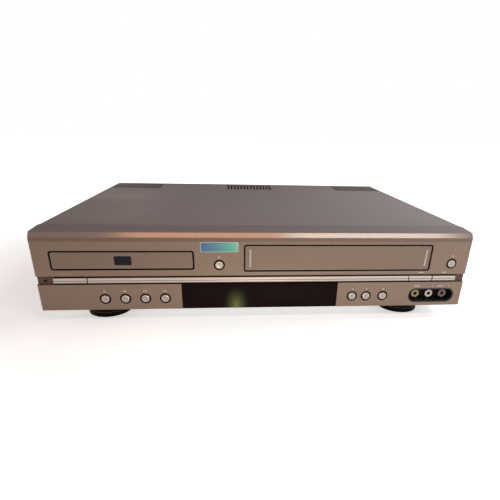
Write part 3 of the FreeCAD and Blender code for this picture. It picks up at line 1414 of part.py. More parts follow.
def vcr_chassis():
    """The deck plate with its side walls, entry shelf, legs, posts and the holder's slots."""
    body = new_body("vcr_chassis")
    left, right = "cassette_middle - deck_half", "cassette_middle + deck_half"
    plate = new_sketch(body, "deck_outline", "plan", "deck_under")
    rectangle(plate, left, "deck_front", right, "deck_back")
    pad(body, "deck_plate", plate, "deck_sheet")
    walls = new_sketch(body, "deck_walls_outline", "plan", "deck_under")
    for start in (left, f"{right} - deck_sheet"):
        rectangle(walls, start, "deck_front", f"{start} + deck_sheet", "holder_back + deck_wall_beyond")
    pad(body, "deck_walls", walls, "deck_wall_height")
    shelf = new_sketch(body, "shelf_outline", "plan", "holder_floor - shelf_drop - deck_sheet")
    rectangle(shelf, left, "groove_wall_back + shelf_gap", right, "holder_front - shelf_gap")
    pad(body, "entry_shelf", shelf, "deck_sheet")
    legs = new_sketch(body, "deck_legs_outline", "plan", "chassis_top")
    for across in (f"{left} + deck_leg_side", f"{right} - deck_leg_side - deck_leg_width"):
        for along in ("deck_front + deck_leg_front", "deck_back - deck_leg_back"):
            rectangle(legs, across, along, f"{across} + deck_leg_width", f"{along} + deck_leg_depth")
    pad(body, "deck_legs", legs, "deck_under + deck_sheet / 2 - chassis_top")
    posts = new_sketch(body, "reel_posts_outline", "plan", "deck_under + deck_sheet / 2")
    for across in ("cassette_middle - reel_spacing / 2", "cassette_middle + reel_spacing / 2"):
        circle(posts, across, "reel_y", "post_radius")
    circle(posts, "arm_x", "arm_y", "post_radius")
    pad(body, "posts", posts, "deck_sheet / 2 + arm_rise + arm_thickness + post_proud")
    collar = new_sketch(body, "collar_outline", "plan", "deck_under + deck_sheet / 2")
    circle(collar, "arm_x", "arm_y", "arm_hub_radius")
    pad(body, "arm_collar", collar, "deck_sheet / 2 + arm_rise - seat_gap")
    slots = new_sketch(body, "holder_slots_outline", "side", "cassette_middle + deck_half + overshoot")
    for along in HOLDER_PINS:
        half = "holder_pin_radius + slide_gap"
        rectangle(slots, f"{along} - ({half})", f"holder_pin_z - holder_travel - ({half})",
                  f"{along} + {half}", f"holder_pin_z + {half}")
    pocket(body, "holder_slots", slots, "2 * deck_half + 2 * overshoot")
    holes = new_sketch(body, "deck_holes_outline", "plan", "deck_top")
    circle(holes, "capstan_x", "capstan_y", "capstan_radius + capstan_hole_gap")
    pocket(body, "deck_holes", holes, "deck_sheet + overshoot")
    return finish(body, "vcr_chassis")


def cassette_holder():
    """The cage that carries the cassette down: open ends, reel windows, a top strap and pins."""
    body = new_body("cassette_holder")
    left, right = "cassette_middle - holder_half", "cassette_middle + holder_half"
    low, high = "holder_floor - holder_sheet", "holder_top + holder_sheet"
    cage = new_sketch(body, "cage_outline", "front", "holder_front")
    rectangle(cage, left, low, right, high)
    pad(body, "cage", cage, "cassette_depth")
    inside = new_sketch(body, "cage_inside_outline", "front", "holder_front - overshoot")
    rectangle(inside, f"{left} + holder_sheet", "holder_floor", f"{right} - holder_sheet",
              "holder_top")
    pocket(body, "cage_inside", inside, "cassette_depth + 2 * overshoot")
    top = new_sketch(body, "strap_outline", "plan", f"{high} + overshoot")
    rectangle(top, f"{left} + holder_edge", "holder_front - overshoot", f"{right} - holder_edge",
              "holder_front + holder_open_front")
    rectangle(top, f"{left} + holder_edge", "holder_back - holder_open_back",
              f"{right} - holder_edge", "holder_back + overshoot")
    pocket(body, "top_openings", top, "holder_sheet + 2 * overshoot")
    windows = new_sketch(body, "reel_windows_outline", "plan", "holder_floor + overshoot")
    for across in ("cassette_middle - reel_spacing / 2", "cassette_middle + reel_spacing / 2"):
        square(windows, across, "reel_y", "2 * reel_window")
    rectangle(windows, "cassette_middle - lamp_window_half", "reel_y - lamp_window_front",
              "cassette_middle + lamp_window_half", "holder_back - lamp_window_back")
    pocket(body, "reel_windows", windows, "holder_sheet + 2 * overshoot")
    for side, start in (("left", "cassette_middle - deck_half - holder_pin_beyond"),
                        ("right", f"{right} - holder_sheet / 2")):
        pins = new_sketch(body, side + "_pins_outline", "side", start)
        for along in HOLDER_PINS:
            circle(pins, along, "holder_pin_z", "holder_pin_radius")
        pad(body, side + "_pins", pins,
            "deck_half - holder_half + holder_pin_beyond + holder_sheet / 2")
    return finish(body, "cassette_holder")


def cassette_door():
    """The flap with its two ribs, and an arm, boss and pin at each end."""
    body = new_body("cassette_door")
    face = new_sketch(body, "leaf_outline", "front", "leaf_set_back")
    rounded(face, "cassette_left + leaf_gap", "cassette_opening_bottom + leaf_gap",
            "cassette_right - leaf_gap", "cassette_opening_top - leaf_gap", "corner_radius - leaf_gap")
    leaf = pad(body, "leaf", face, "leaf_thickness")
    set_back = value("leaf_set_back")
    break_edges(body, "Chamfer", "leaf_chamfer", leaf, "door_chamfer",
                lambda edge: on_plane(edge, set_back))
    ribs = new_sketch(body, "leaf_ribs_outline", "front", "leaf_set_back + leaf_thickness / 2")
    middle = "(cassette_opening_bottom + cassette_opening_top) / 2"
    for across in ("cassette_left + leaf_rib_inset", "cassette_right - leaf_rib_inset"):
        rectangle(ribs, f"{across} - leaf_rib_width / 2", f"{middle} - leaf_rib_height / 2",
                  f"{across} + leaf_rib_width / 2", f"{middle} + leaf_rib_height / 2")
    pad(body, "leaf_ribs", ribs, "leaf_rib_proud + leaf_thickness / 2", backward=True)
    hinge_front, hinge_rear = "hinge_back - hinge_boss_radius", "hinge_back + hinge_boss_radius"
    ends = (("left", "cassette_left + leaf_gap", "cassette_left - hinge_pin_length",
             "hinge_pin_length + leaf_gap"),
            ("right", "cassette_right - leaf_gap - hinge_arm_width", "cassette_right - leaf_gap",
             "leaf_gap + hinge_arm_width"))
    root = "leaf_back - leaf_thickness / 4"
    for side, arm_start, pin_start, pin_length in ends:
        arm = new_sketch(body, side + "_arm_outline", "side", arm_start)
        outline(arm, [
            (root, "cassette_opening_top - hinge_arm_drop"),
            ("leaf_back + hinge_arm_root", "cassette_opening_top - hinge_arm_drop"),
            (hinge_rear, "hinge_z"), (hinge_front, "hinge_z"),
            (hinge_front, "cassette_opening_top - hinge_arm_shoulder"),
            (root, "cassette_opening_top - hinge_arm_shoulder")])
        pad(body, side + "_arm", arm, "hinge_arm_width")
        boss = new_sketch(body, side + "_boss_outline", "side", arm_start)
        circle(boss, "hinge_back", "hinge_z", "hinge_boss_radius")
        pad(body, side + "_boss", boss, "hinge_arm_width")
        pin = new_sketch(body, side + "_pin_outline", "side", pin_start)
        circle(pin, "hinge_back", "hinge_z", "hinge_pin_radius")
        pad(body, side + "_pin", pin, pin_length)
    return finish(body, "cassette_door")


def door_spring():
    """The door's return spring: its sleeve of close turns on the long pin, and its fixed leg."""
    left = "cassette_left - hinge_pin_length + join_overlap"
    outer = rod("spring_outer", left, "hinge_back", "hinge_z", "hinge_boss_radius + slide_gap / 2",
                "spring_length", along="x")
    leg = block("spring_leg", left, "panel_wall + slide_gap / 2", "hinge_z - spring_leg",
                "spring_wire", "spring_wire", "spring_leg")
    inner = rod("spring_inner", f"{left} - overshoot", "hinge_back", "hinge_z",
                "hinge_pin_radius + slide_gap", "spring_length + 2 * overshoot", along="x")
    return finish(cut("door_spring", fuse("spring_solid", outer, leg), inner), "door_spring")


def drum_base():
    """The fixed lower drum and the shaft that the upper drum turns on."""
    body = new_body("drum_base")
    profile = new_sketch(body, "drum_base_profile", "front")
    outline(profile, [
        ("0", "0"), ("drum_radius", "0"), ("drum_radius", "drum_base_height"),
        ("post_radius", "drum_base_height"),
        ("post_radius", "drum_base_height + drum_slot + drum_upper_height - post_proud"),
        ("0", "drum_base_height + drum_slot + drum_upper_height - post_proud")])
    revolve(body, "drum_base_turned", profile, "Z_Axis")
    return finish(body, "drum_base", x="cassette_middle", y="drum_y", z="deck_top")


def head_drum():
    """The spinning upper drum, bored for the shaft of the lower one."""
    body = new_body("head_drum")
    profile = new_sketch(body, "drum_profile", "front")
    rectangle(profile, "post_radius + slide_gap", "0", "drum_radius", "drum_upper_height")
    revolve(body, "drum_turned", profile, "Z_Axis")
    return finish(body, "head_drum", x="cassette_middle", y="drum_y",
                  z="deck_top + drum_base_height + drum_slot")


def reel_table(name, sign):
    """A reel table: flange, spindle with three splines, and the bore for its post."""
    body = new_body(name)
    profile = new_sketch(body, name + "_profile", "front")
    bore = "post_radius + slide_gap"
    outline(profile, [
        (bore, "0"), ("reel_flange_radius", "0"), ("reel_flange_radius", "reel_flange"),
        ("reel_spindle_radius", "reel_flange"), ("reel_spindle_radius", "reel_height"),
        (bore, "reel_height")])
    revolve(body, name + "_turned", profile, "Z_Axis")
    spline = new_sketch(body, name + "_spline_outline", "plan", "reel_flange")
    rectangle(spline, "reel_spindle_radius - join_overlap", "0 - spline_width / 2",
              "reel_spindle_radius + spline_proud", "spline_width / 2")
    fin = pad(body, name + "_spline", spline, "reel_height - reel_flange - reel_tip")
    fins = body.newObject("PartDesign::PolarPattern", name + "_splines")
    fins.Originals = [fin]
    fins.Axis = (next(f for f in body.Origin.OriginFeatures if f.Role == "Z_Axis"), [""])
    fins.Angle = 360
    fins.Occurrences = 3
    body.Tip = fins
    return finish(body, name, x=f"cassette_middle {sign} reel_spacing / 2", y="reel_y",
                  z="deck_top + seat_gap")


def capstan_flywheel():
    """The flywheel under the deck and the capstan shaft through it."""
    body = new_body("capstan_flywheel")
    profile = new_sketch(body, "capstan_profile", "front")
    outline(profile, [
        ("0", "0"), ("flywheel_radius", "0"), ("flywheel_radius", "flywheel_height"),
        ("capstan_radius", "flywheel_height"), ("capstan_radius", "flywheel_height + capstan_height"),
        ("0", "flywheel_height + capstan_height")])
    revolve(body, "capstan_turned", profile, "Z_Axis")
    return finish(body, "capstan_flywheel", x="capstan_x", y="capstan_y",
                  z="deck_under - seat_gap - flywheel_height")


def pinch_arm():
    """The arm that swings the roller to the capstan: hub, blade and the roller's pin."""
    body = new_body("pinch_arm")
    blade = new_sketch(body, "blade_outline", "plan")
    rectangle(blade, "0", "0 - arm_width / 2", "arm_length", "arm_width / 2")
    pad(body, "blade", blade, "arm_thickness")
    for name, across, radius in (("hub", "0", "arm_hub_radius"), ("eye", "arm_length", "arm_width / 2")):
        ring = new_sketch(body, name + "_outline", "plan")
        circle(ring, across, "0", radius)
        pad(body, name, ring, "arm_thickness")
    pin = new_sketch(body, "roller_pin_outline", "plan")
    circle(pin, "arm_length", "0", "capstan_radius")
    pad(body, "roller_pin", pin, "arm_thickness + roller_height + post_proud")
    bore = new_sketch(body, "hub_bore_outline", "plan", "arm_thickness")
    circle(bore, "0", "0", "post_radius + slide_gap")
    pocket(body, "hub_bore", bore, "arm_thickness + overshoot")
    finish(body, "pinch_arm", x="arm_x", y="arm_y", z="arm_z")
    body.Placement.Rotation = Rotation(Vector(0, 0, 1), value("arm_rest_angle"))
    bind(body, Placement__Rotation__Angle="arm_rest_angle * 1 deg")
    return body


def pinch_roller():
    """The rubber roller on the arm's pin."""
    tyre = rod("roller_tyre", "0", "0", "0", "roller_radius", "roller_height")
    bore = rod("roller_bore", "0", "0", "0 - overshoot", "capstan_radius + slide_gap",
               "roller_height + 2 * overshoot")
    return finish(cut("pinch_roller", tyre, bore), "pinch_roller", x="roller_x", y="roller_y",
                  z="arm_z + arm_thickness + seat_gap")


# Electronics and terminals at the back


def main_circuit_board():
    """The main board with its larger chips and a row of capacitors."""
    left, front, top = "0 - main_board_left", "rear_board_front", "rear_board_top"
    pieces = [block("main_board", left, front, "rear_board_low",
                    "main_board_left + rear_half - board_side_gap", "rear_board_depth",
                    "board_thickness")]
    for number, (across, back, side, tall) in enumerate(MAIN_CHIPS):
        pieces.append(block(f"chip_{number}", f"{left} + {across}", f"{front} + {back}", top,
                            side, side, tall))
    for number, (across, back, radius, tall) in enumerate(MAIN_CAPACITORS):
        pieces.append(rod(f"capacitor_{number}", f"{left} + {across}", f"{front} + {back}", top,
                          radius, tall))
    return finish(fuse("main_circuit_board", *pieces), "main_circuit_board")


def power_supply_board():
    """The supply board with its heat sink, capacitors, and transformer of core and winding."""
    left, front, top = "supply_left", "supply_front", "rear_board_top"
    sink_left, sink_front = f"{left} + sink_side", f"{front} + transformer_side"
    pieces = [block("supply_board", left, front, "rear_board_low", "supply_board_width",
                    "supply_board_depth", "board_thickness"),
              block("sink_web", sink_left, sink_front, top, "sink_width", "sink_wall", "sink_height"),
              block("transformer_core", f"{left} + transformer_side",
                    f"{front} + transformer_front + transformer_depth / 4", top,
                    "transformer_width", "transformer_depth / 2", "transformer_height"),
              block("transformer_winding", f"{left} + transformer_side + transformer_width / 5",
                    f"{front} + transformer_front", f"{top} + transformer_height / 6",
                    "transformer_width * 3 / 5", "transformer_depth", "transformer_height * 2 / 3")]
    fins = int(value("sink_fins"))
    for number in range(fins):
        pieces.append(block(f"sink_fin_{number}",
                            f"{sink_left} + {number} * (sink_width - sink_fin) / (sink_fins - 1)",
                            sink_front, f"{top} + sink_fin", "sink_fin", "sink_depth",
                            "sink_height - sink_fin"))
    for number, (across, back, radius, tall) in enumerate(SUPPLY_CAPACITORS):
        pieces.append(rod(f"supply_capacitor_{number}", f"{left} + {across}", f"{front} + {back}",
                          top, radius, tall))
    return finish(fuse("power_supply_board", *pieces), "power_supply_board")


def tuner_module():
    """The screened tuner box with its two aerial terminals."""
    box = block("tuner_box", "tuner_x - tuner_width / 2", "tuner_back - tuner_depth", "rear_board_top",
                "tuner_width", "tuner_depth", "tuner_height")
    root = "tuner_back - join_overlap"
    terminals = [rod("aerial_" + side, f"tuner_x {sign} aerial_spacing / 2", root, "aerial_z",
                     "aerial_radius", f"case_depth + rear_reach - ({root})", along="y")
                 for side, sign in (("in", "-"), ("out", "+"))]
    bores = [rod("aerial_bore_" + side, f"tuner_x {sign} aerial_spacing / 2",
                 "case_depth + rear_reach - aerial_bore_depth", "aerial_z", "socket_bore",
                 "aerial_bore_depth + overshoot", along="y")
             for side, sign in (("in", "-"), ("out", "+"))]
    return finish(cut("tuner_module", fuse("tuner_solid", box, *terminals), *bores), "tuner_module")


def rear_socket_block():
    """The block of rear phono sockets: a moulded back and a grid of bored barrels."""
    left = "rear_sockets_x - rear_sockets_width / 2"
    solids = [block("rear_socket_back", left, "rear_plane - rear_socket_depth", "rear_sockets_low",
                    "rear_sockets_width", "rear_socket_depth - seat_gap / 2",
                    "rear_sockets_high - rear_sockets_low")]
    bores = []
    for row in range(int(value("rear_socket_rows"))):
        for column in range(int(value("rear_socket_columns"))):
            across = f"{left} + ({column} + 1 / 2) * rear_socket_pitch"
            up = f"rear_sockets_low + ({row} + 1 / 2) * rear_socket_pitch"
            name = f"{row}_{column}"
            solids.append(rod("rear_barrel_" + name, across, "rear_plane - join_overlap", up,
                              "socket_radius", "join_overlap + cover_sheet + socket_length",
                              along="y"))
            bores.append(rod("rear_bore_" + name, across, "rear_plane", up, "socket_bore",
                             "cover_sheet + socket_length + overshoot", along="y"))
    block_solid = fuse("rear_socket_solid", *solids)
    return finish(cut("rear_socket_block", block_solid, *bores), "rear_socket_block")


def mains_inlet():
    """The two-pin mains inlet: two round sockets side by side, each with its pin."""
    left, low = "inlet_x - inlet_width / 2", "inlet_low"
    body = block("inlet_body", f"{left} + seat_gap", "rear_plane + cover_sheet - inlet_depth",
                 f"{low} + seat_gap / 2", "inlet_width - 2 * seat_gap", "inlet_depth",
                 "inlet_height - seat_gap")
    pieces, pins = [], []
    for side, sign in (("left", "-"), ("right", "+")):
        across = f"inlet_x {sign} inlet_spacing / 2"
        up = f"{low} + inlet_height / 2"
        pieces.append(rod("inlet_lobe_" + side, across, "rear_plane + cover_sheet - inlet_well", up,
                          "inlet_lobe", "inlet_well + overshoot", along="y"))
        pins.append(rod("inlet_pin_" + side, across,
                        "rear_plane + cover_sheet - inlet_well - join_overlap", up, "inlet_pin",
                        "inlet_well", along="y"))
    return finish(fuse("mains_inlet", cut("inlet_hollow", body, *pieces), *pins), "mains_inlet")


def check_and_write():
    """Every feature has recomputed, and every sub-part is valid; then each is written."""
    doc.recompute()
    for thing in doc.Objects:
        if "Invalid" in thing.State or "Error" in thing.State:
            raise RuntimeError(f"{thing.Name} did not recompute")
    for thing in parts:
        if thing.Shape.isNull() or not thing.Shape.isValid():
            raise RuntimeError(f"{thing.Label} has no valid shape")
    os.makedirs("parts", exist_ok=True)
    for thing in parts:
        thing.Shape.exportStep(os.path.join("parts", thing.Label + ".step"))


fill_sheet()
front_panel()
display_window()
trim_bar()
for key, (key_left, key_right) in BAR_KEYS.items():
    bar_key(key, key_left, key_right)
for key, (button_x, button_z) in ROUND_BUTTONS.items():
    round_button(key, button_x, button_z)
standby_lamp()
socket_panel()
phono_socket("video_socket", "sockets_x - socket_pitch")
phono_socket("audio_left_socket", "sockets_x")
phono_socket("audio_right_socket", "sockets_x + socket_pitch")
front_circuit_board()
display_module()
base_chassis()
rear_panel()
top_cover()
cover_screws()
feet()
disc_tray()
tray_door()
loader_frame()
drive_gear()
tray_motor()
motor_pulley()
tray_belt()
traverse_frame()
turntable()
guide_rods()
feed_screw()
pickup_sled()
clamp_bridge()
disc_clamp()
vcr_chassis()
cassette_holder()
cassette_door()
door_spring()
drum_base()
head_drum()
reel_table("supply_reel_table", "-")
reel_table("take_up_reel_table", "+")
capstan_flywheel()
pinch_arm()
pinch_roller()
main_circuit_board()
power_supply_board()
tuner_module()
rear_socket_block()
mains_inlet()
check_and_write()
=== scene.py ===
"""The looks of a disc and cassette deck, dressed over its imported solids.

Everything is in metres in the solids' own frame: X to the right, Y from the front to the back, Z up.
"""

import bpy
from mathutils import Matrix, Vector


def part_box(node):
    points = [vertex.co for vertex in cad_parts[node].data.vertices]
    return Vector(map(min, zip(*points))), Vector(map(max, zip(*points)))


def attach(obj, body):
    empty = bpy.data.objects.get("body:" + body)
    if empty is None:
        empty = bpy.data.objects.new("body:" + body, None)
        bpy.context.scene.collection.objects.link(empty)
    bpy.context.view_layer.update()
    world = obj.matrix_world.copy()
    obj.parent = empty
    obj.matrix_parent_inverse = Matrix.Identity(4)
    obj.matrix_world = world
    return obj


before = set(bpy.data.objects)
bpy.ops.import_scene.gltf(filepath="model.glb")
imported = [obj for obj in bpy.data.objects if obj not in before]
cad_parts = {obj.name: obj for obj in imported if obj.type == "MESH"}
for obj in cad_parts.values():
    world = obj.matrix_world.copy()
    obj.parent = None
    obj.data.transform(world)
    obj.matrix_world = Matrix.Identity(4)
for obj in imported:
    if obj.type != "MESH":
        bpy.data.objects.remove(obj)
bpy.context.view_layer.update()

import math

import bmesh
import bpy
import numpy as np
from mathutils import Matrix, Vector

MM = 0.001
RIGHT, BACK, UP = (1, 0, 0), (0, 1, 0), (0, 0, 1)
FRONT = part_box("trim_bar")[0].y

# Corners of the doors' openings: lower left and upper right, across and up, in mm
OPENINGS = {"tray_door": ((-198.9, 56.2), (-65.5, 74.95)), "cassette_door": ((-17.2, 53.9), (173.6, 81.1))}
BEVEL_FOOT = 88.0 * MM
LEAN_FOOT, LEAN = 48.0 * MM, 4.4

ROUND_KEYS = ("open_close_button", "eject_button", "stop_button", "rewind_button", "play_button",
              "forward_button", "channel_down_button", "channel_up_button", "record_button")
BAR_PIECES = ("power_button", "trim_bar", "dvd_select_button", "vcr_select_button")

# Each lamp's place, what it is turned to, its width and height, its watts and its colour
LAMPS = {
    "low_lamp": ((0.02, -0.47, 0.06), (0, -0.16, 0.06), (0.10, 0.10), 0.37, (1.0, 0.90, 0.72)),
    "middle_lamp": ((-0.11, -0.64, 0.71), (-0.11, -0.16, 0.06), (0.48, 0.12), 0.80, (1.0, 0.55, 0.34)),
    "right_lamp": ((0.38, -0.61, 0.67), (0.38, -0.16, 0.06), (0.50, 0.16), 1.75, (0.92, 0.98, 1.0)),
    "side_lamp": ((0.64, -0.06, 0.42), (0, -0.02, 0.09), (0.26, 0.26), 4.0, (0.95, 1.0, 1.0)),
    "back_lamp": ((-0.45, 0.95, 0.25), (0, 0.1, 0.05), (0.30, 0.30), 1.3, (1.0, 0.78, 0.74)),
}
ROOM_LIGHT, ROOM_TINT, WHITE = 0.17, (1.0, 0.80, 0.78), (1.0, 1.0, 1.0)

# Colours of the finishes, with their lighter, darker and dusty places, and the colours of painted shade,
# painted highlights and a painted reflection
TONE = {
    "cover": (0.232, 0.202, 0.196), "cover_inside_shade": (0.010, 0.009, 0.008), "dust": (0.55, 0.52, 0.48),
    # door: the panel's paint in a darker tone, as painted shade
    "panel": (0.245, 0.177, 0.138), "door": (0.215, 0.157, 0.122), "painted_crown_shade": (0.165, 0.139, 0.134),
    # gap: the black of painted shade in gaps, holes and inner sides
    "bevel": (0.210, 0.153, 0.128), "painted_bevel_shade": (0.06, 0.035, 0.026), "gap": (0.008, 0.005, 0.004),
    "groove_end": (0.100, 0.062, 0.047), "door_edge_highlight": (0.50, 0.40, 0.33),
    "rib_valley_shade": (0.20, 0.165, 0.14), "rib_ridge_highlight": (0.62, 0.56, 0.50),
    "bar": (0.46, 0.39, 0.355), "bar_dark": (0.38, 0.315, 0.28), "bar_light": (0.52, 0.45, 0.41),
    "bar_notch": (0.33, 0.245, 0.20), "bar_foot_shade": (0.27, 0.215, 0.19), "bar_back_shade": (0.03, 0.03, 0.03),
    # glow: the colour of the painted reflection on the window
    "window": (0.0075, 0.0035, 0.003), "display": (0.0085, 0.0050, 0.0038), "glow": (0.190, 0.215, 0.095),
    "key": (0.36, 0.315, 0.285), "key_rim_highlight": (0.48, 0.43, 0.39), "lamp": (0.006, 0.003, 0.003),
    # ring: the black of the painted shade funnels in the round keys' holes
    "foot": (0.0035, 0.0022, 0.0015), "foot_highlight": (0.045, 0.040, 0.036), "ring": (0.005, 0.004, 0.003),
    "socket_panel": (0.010, 0.010, 0.009), "barrel": (0.22, 0.20, 0.175), "bore": (0.02, 0.02, 0.02),
    "zinc": (0.55, 0.55, 0.54), "zinc_dust": (0.5, 0.47, 0.43), "steel": (0.66, 0.66, 0.66),
    "lacquer": (0.055, 0.12, 0.045), "track": (0.10, 0.20, 0.07), "parts": (0.025, 0.025, 0.027),
    "thread_low": (0.30, 0.30, 0.30), "thread_high": (0.70, 0.70, 0.70),
    "foil_left": (0.016, 0.050, 0.17), "foil_right": (0.018, 0.17, 0.095), "foil_line": (0.16, 0.36, 0.40),
    "label_rim": (0.55, 0.60, 0.62), "tray_plate": (0.008, 0.009, 0.011), "vent_shade": (0.018, 0.016, 0.015),
    "print": (0.62, 0.54, 0.48), "faint_print": (0.36, 0.28, 0.24),
}


def centre(solid):
    """The middle of a solid's box."""
    low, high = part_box(solid)
    return (low + high) / 2


def opening_corners(door):
    """The lower left and the upper right corner of a door's opening, in the front plane."""
    return [Vector((across, 0, up)) * MM for across, up in OPENINGS[door]]


# Camera, lamps, floor

def add_camera():
    """The photograph's viewpoint: close in front, above and a little left of the middle."""
    place = Vector((-29.43, -522.08, 187.78)) * MM
    yaw, pitch, roll = (math.radians(angle) for angle in (-5.758, 22.516, 1.678))
    ahead = Vector((-math.sin(yaw) * math.cos(pitch), math.cos(yaw) * math.cos(pitch),
                    -math.sin(pitch)))
    level = Vector((math.cos(yaw), math.sin(yaw), 0))
    above = level.cross(ahead)
    across = math.cos(roll) * level + math.sin(roll) * above
    up = -math.sin(roll) * level + math.cos(roll) * above
    frame_px, focal_px, middle_px = 500, 387.107, (267.828, 286.084)
    camera = bpy.data.cameras.new("camera")
    camera.sensor_width = 36
    camera.lens = focal_px / frame_px * camera.sensor_width
    camera.shift_x = (frame_px / 2 - middle_px[0]) / frame_px
    camera.shift_y = (middle_px[1] - frame_px / 2) / frame_px
    camera.clip_start = 10 * MM
    holder = bpy.data.objects.new("camera", camera)
    holder.matrix_world = Matrix.Translation(place) @ Matrix((across, up, -ahead)).transposed().to_4x4()
    bpy.context.scene.collection.objects.link(holder)
    bpy.context.scene.camera = holder


def add_lamp(name, place, aim, size, power, colour):
    """A soft lamp of a width and height at a place, turned to what it lights."""
    lamp = bpy.data.lights.new(name, "AREA")
    lamp.shape = "RECTANGLE"
    lamp.size, lamp.size_y = size
    lamp.energy = power
    lamp.color = colour
    holder = bpy.data.objects.new(name, lamp)
    holder.location = place
    holder.rotation_euler = (Vector(aim) - Vector(place)).to_track_quat("-Z", "Y").to_euler()
    bpy.context.scene.collection.objects.link(holder)


def seen_directly(tree):
    """1 for rays from the camera, and for reflected and transmitted ones; 0 for the rest."""
    path = node(tree, "ShaderNodeLightPath")
    glossy = maths(tree, "MAXIMUM", path.outputs["Is Camera Ray"], path.outputs["Is Glossy Ray"])
    return maths(tree, "MAXIMUM", glossy, path.outputs["Is Transmission Ray"])


def light_the_room():
    """A white surround with a lower light of its own, and soft lamps about the object."""
    world = bpy.data.worlds.new("room")
    bpy.context.scene.world = world
    world.use_nodes = True
    tree = world.node_tree
    tree.nodes.clear()
    direct = seen_directly(tree)
    glow = node(tree, "ShaderNodeBackground", {"Color": mix(tree, direct, ROOM_TINT, WHITE),
                                               "Strength": ramp(tree, direct, 0.0, 1.0, ROOM_LIGHT, 1.0)})
    node(tree, "ShaderNodeOutputWorld", {"Surface": glow.outputs[0]})
    for name, settings in LAMPS.items():
        add_lamp(name, *settings)


def add_floor():
    """A wide pale floor under the feet, which grows to plain white away from the object."""
    reach, near, far, near_glow, drop = 6.0, 0.30, 0.62, 0.50, 0.1 * MM
    corners = np.array([(-1, -1), (1, -1), (1, 1), (-1, 1)]) * reach
    floor = bpy.data.meshes.new("floor")
    floor.from_pydata([(x, y, -drop) for x, y in corners], [], [(0, 1, 2, 3)])
    plane = bpy.data.objects.new("floor", floor)
    bpy.context.scene.collection.objects.link(plane)
    material, tree, shader = new_material("floor_paint", (0.86, 0.86, 0.86), roughness=0.7)
    cloud = noise(tree, object_place(tree), 2.0, 3.0)
    tree.links.new(mix(tree, cloud, (0.85, 0.85, 0.85), (0.87, 0.87, 0.87)), shader.inputs["Base Color"])
    away = vectors(tree, "LENGTH", object_place(tree))
    white = node(tree, "ShaderNodeEmission", {"Color": (*WHITE, 1),
                                              "Strength": ramp(tree, away, near, far, near_glow, 1.0)})
    dark = node(tree, "ShaderNodeEmission", {"Color": (0, 0, 0, 1), "Strength": 0.0})
    glow = node(tree, "ShaderNodeMixShader", {0: seen_directly(tree), 1: dark.outputs[0],
                                              2: white.outputs[0]})
    total = node(tree, "ShaderNodeAddShader", {0: shader.outputs[0], 1: glow.outputs[0]})
    output = next(made for made in tree.nodes if made.bl_idname == "ShaderNodeOutputMaterial")
    tree.links.new(total.outputs[0], output.inputs["Surface"])
    plane.data.materials.append(material)


# Node helpers

def node(tree, kind, inputs=None, **settings):
    """A new shader node; an input that is given a socket is linked, and any other is set."""
    made = tree.nodes.new(kind)
    for name, setting in settings.items():
        setattr(made, name, setting)
    feed(tree, made, inputs or {})
    return made


def feed(tree, made, inputs):
    """Links or sets the inputs of a node."""
    for key, given in inputs.items():
        if isinstance(given, bpy.types.NodeSocket):
            tree.links.new(given, made.inputs[key])
        else:
            made.inputs[key].default_value = given


def maths(tree, operation, first, second=0.0, clamp=False):
    """One arithmetic step on values."""
    return node(tree, "ShaderNodeMath", {0: first, 1: second}, operation=operation,
                use_clamp=clamp).outputs[0]


def vectors(tree, operation, first, second=(0, 0, 0)):
    """One arithmetic step on vectors; a length or a product along a direction comes out as a value."""
    made = node(tree, "ShaderNodeVectorMath", {0: first, 1: second}, operation=operation)
    return made.outputs["Value" if operation in ("LENGTH", "DOT_PRODUCT") else "Vector"]


def mix(tree, factor, first, second):
    """Two colours mixed by a value."""
    def colour(given):
        return given if isinstance(given, bpy.types.NodeSocket) else (*given[:3], 1)
    return node(tree, "ShaderNodeMix", {0: factor, 6: colour(first), 7: colour(second)},
                data_type="RGBA").outputs[2]


def blend_values(tree, factor, first, second):
    """Two values mixed by a third."""
    return node(tree, "ShaderNodeMix", {0: factor, 2: first, 3: second}, data_type="FLOAT").outputs[0]


def ramp(tree, value, low, high, first=0.0, last=1.0):
    """A value's way between two levels, as a run from one number to another."""
    return node(tree, "ShaderNodeMapRange", {"Value": value, "From Min": low, "From Max": high,
                                             "To Min": first, "To Max": last}).outputs[0]


def noise(tree, place, scale, detail, roughness=0.5):
    """Soft noise about a half."""
    return node(tree, "ShaderNodeTexNoise", {"Vector": place, "Scale": scale, "Detail": detail,
                                             "Roughness": roughness}).outputs["Fac"]


def object_place(tree):
    """Where a point lies in its object."""
    return node(tree, "ShaderNodeTexCoord").outputs["Object"]


def along(tree, axis):
    """How far a point lies along one axis of its object."""
    return node(tree, "ShaderNodeSeparateXYZ", {0: object_place(tree)}).outputs[axis]


def past(tree, measure, level, soft=0.05 * MM):
    """1 where a value is over a level, with a soft step."""
    return maths(tree, "DIVIDE", maths(tree, "SUBTRACT", measure, level), soft, clamp=True)


def between(tree, measure, low, high, soft=0.05 * MM):
    """1 where a value lies between two levels, with soft steps."""
    return maths(tree, "SUBTRACT", past(tree, measure, low, soft), past(tree, measure, high, soft))


def overlap(tree, *masks):
    """1 where every mask is 1."""
    total = masks[0]
    for mask in masks[1:]:
        total = maths(tree, "MULTIPLY", total, mask)
    return total


def elsewhere(tree, mask):
    """1 where a mask is 0."""
    return maths(tree, "SUBTRACT", 1.0, mask)


def new_material(name, colour, roughness=0.5, metallic=0.0, coat=0.0, coat_roughness=0.1, shine=0.5):
    """A material with one Principled shader, whose plain numbers sit on its own sockets."""
    material = bpy.data.materials.new(name)
    material.use_nodes = True
    tree = material.node_tree
    shader = next(made for made in tree.nodes if made.bl_idname == "ShaderNodeBsdfPrincipled")
    feed(tree, shader, {"Base Color": (*colour, 1), "Roughness": roughness, "Metallic": metallic,
                        "Coat Weight": coat, "Coat Roughness": coat_roughness,
                        "Specular IOR Level": shine})
    return material, tree, shader


# Shared effects

VECTOR, VALUE = "NodeSocketVector", "NodeSocketFloat"


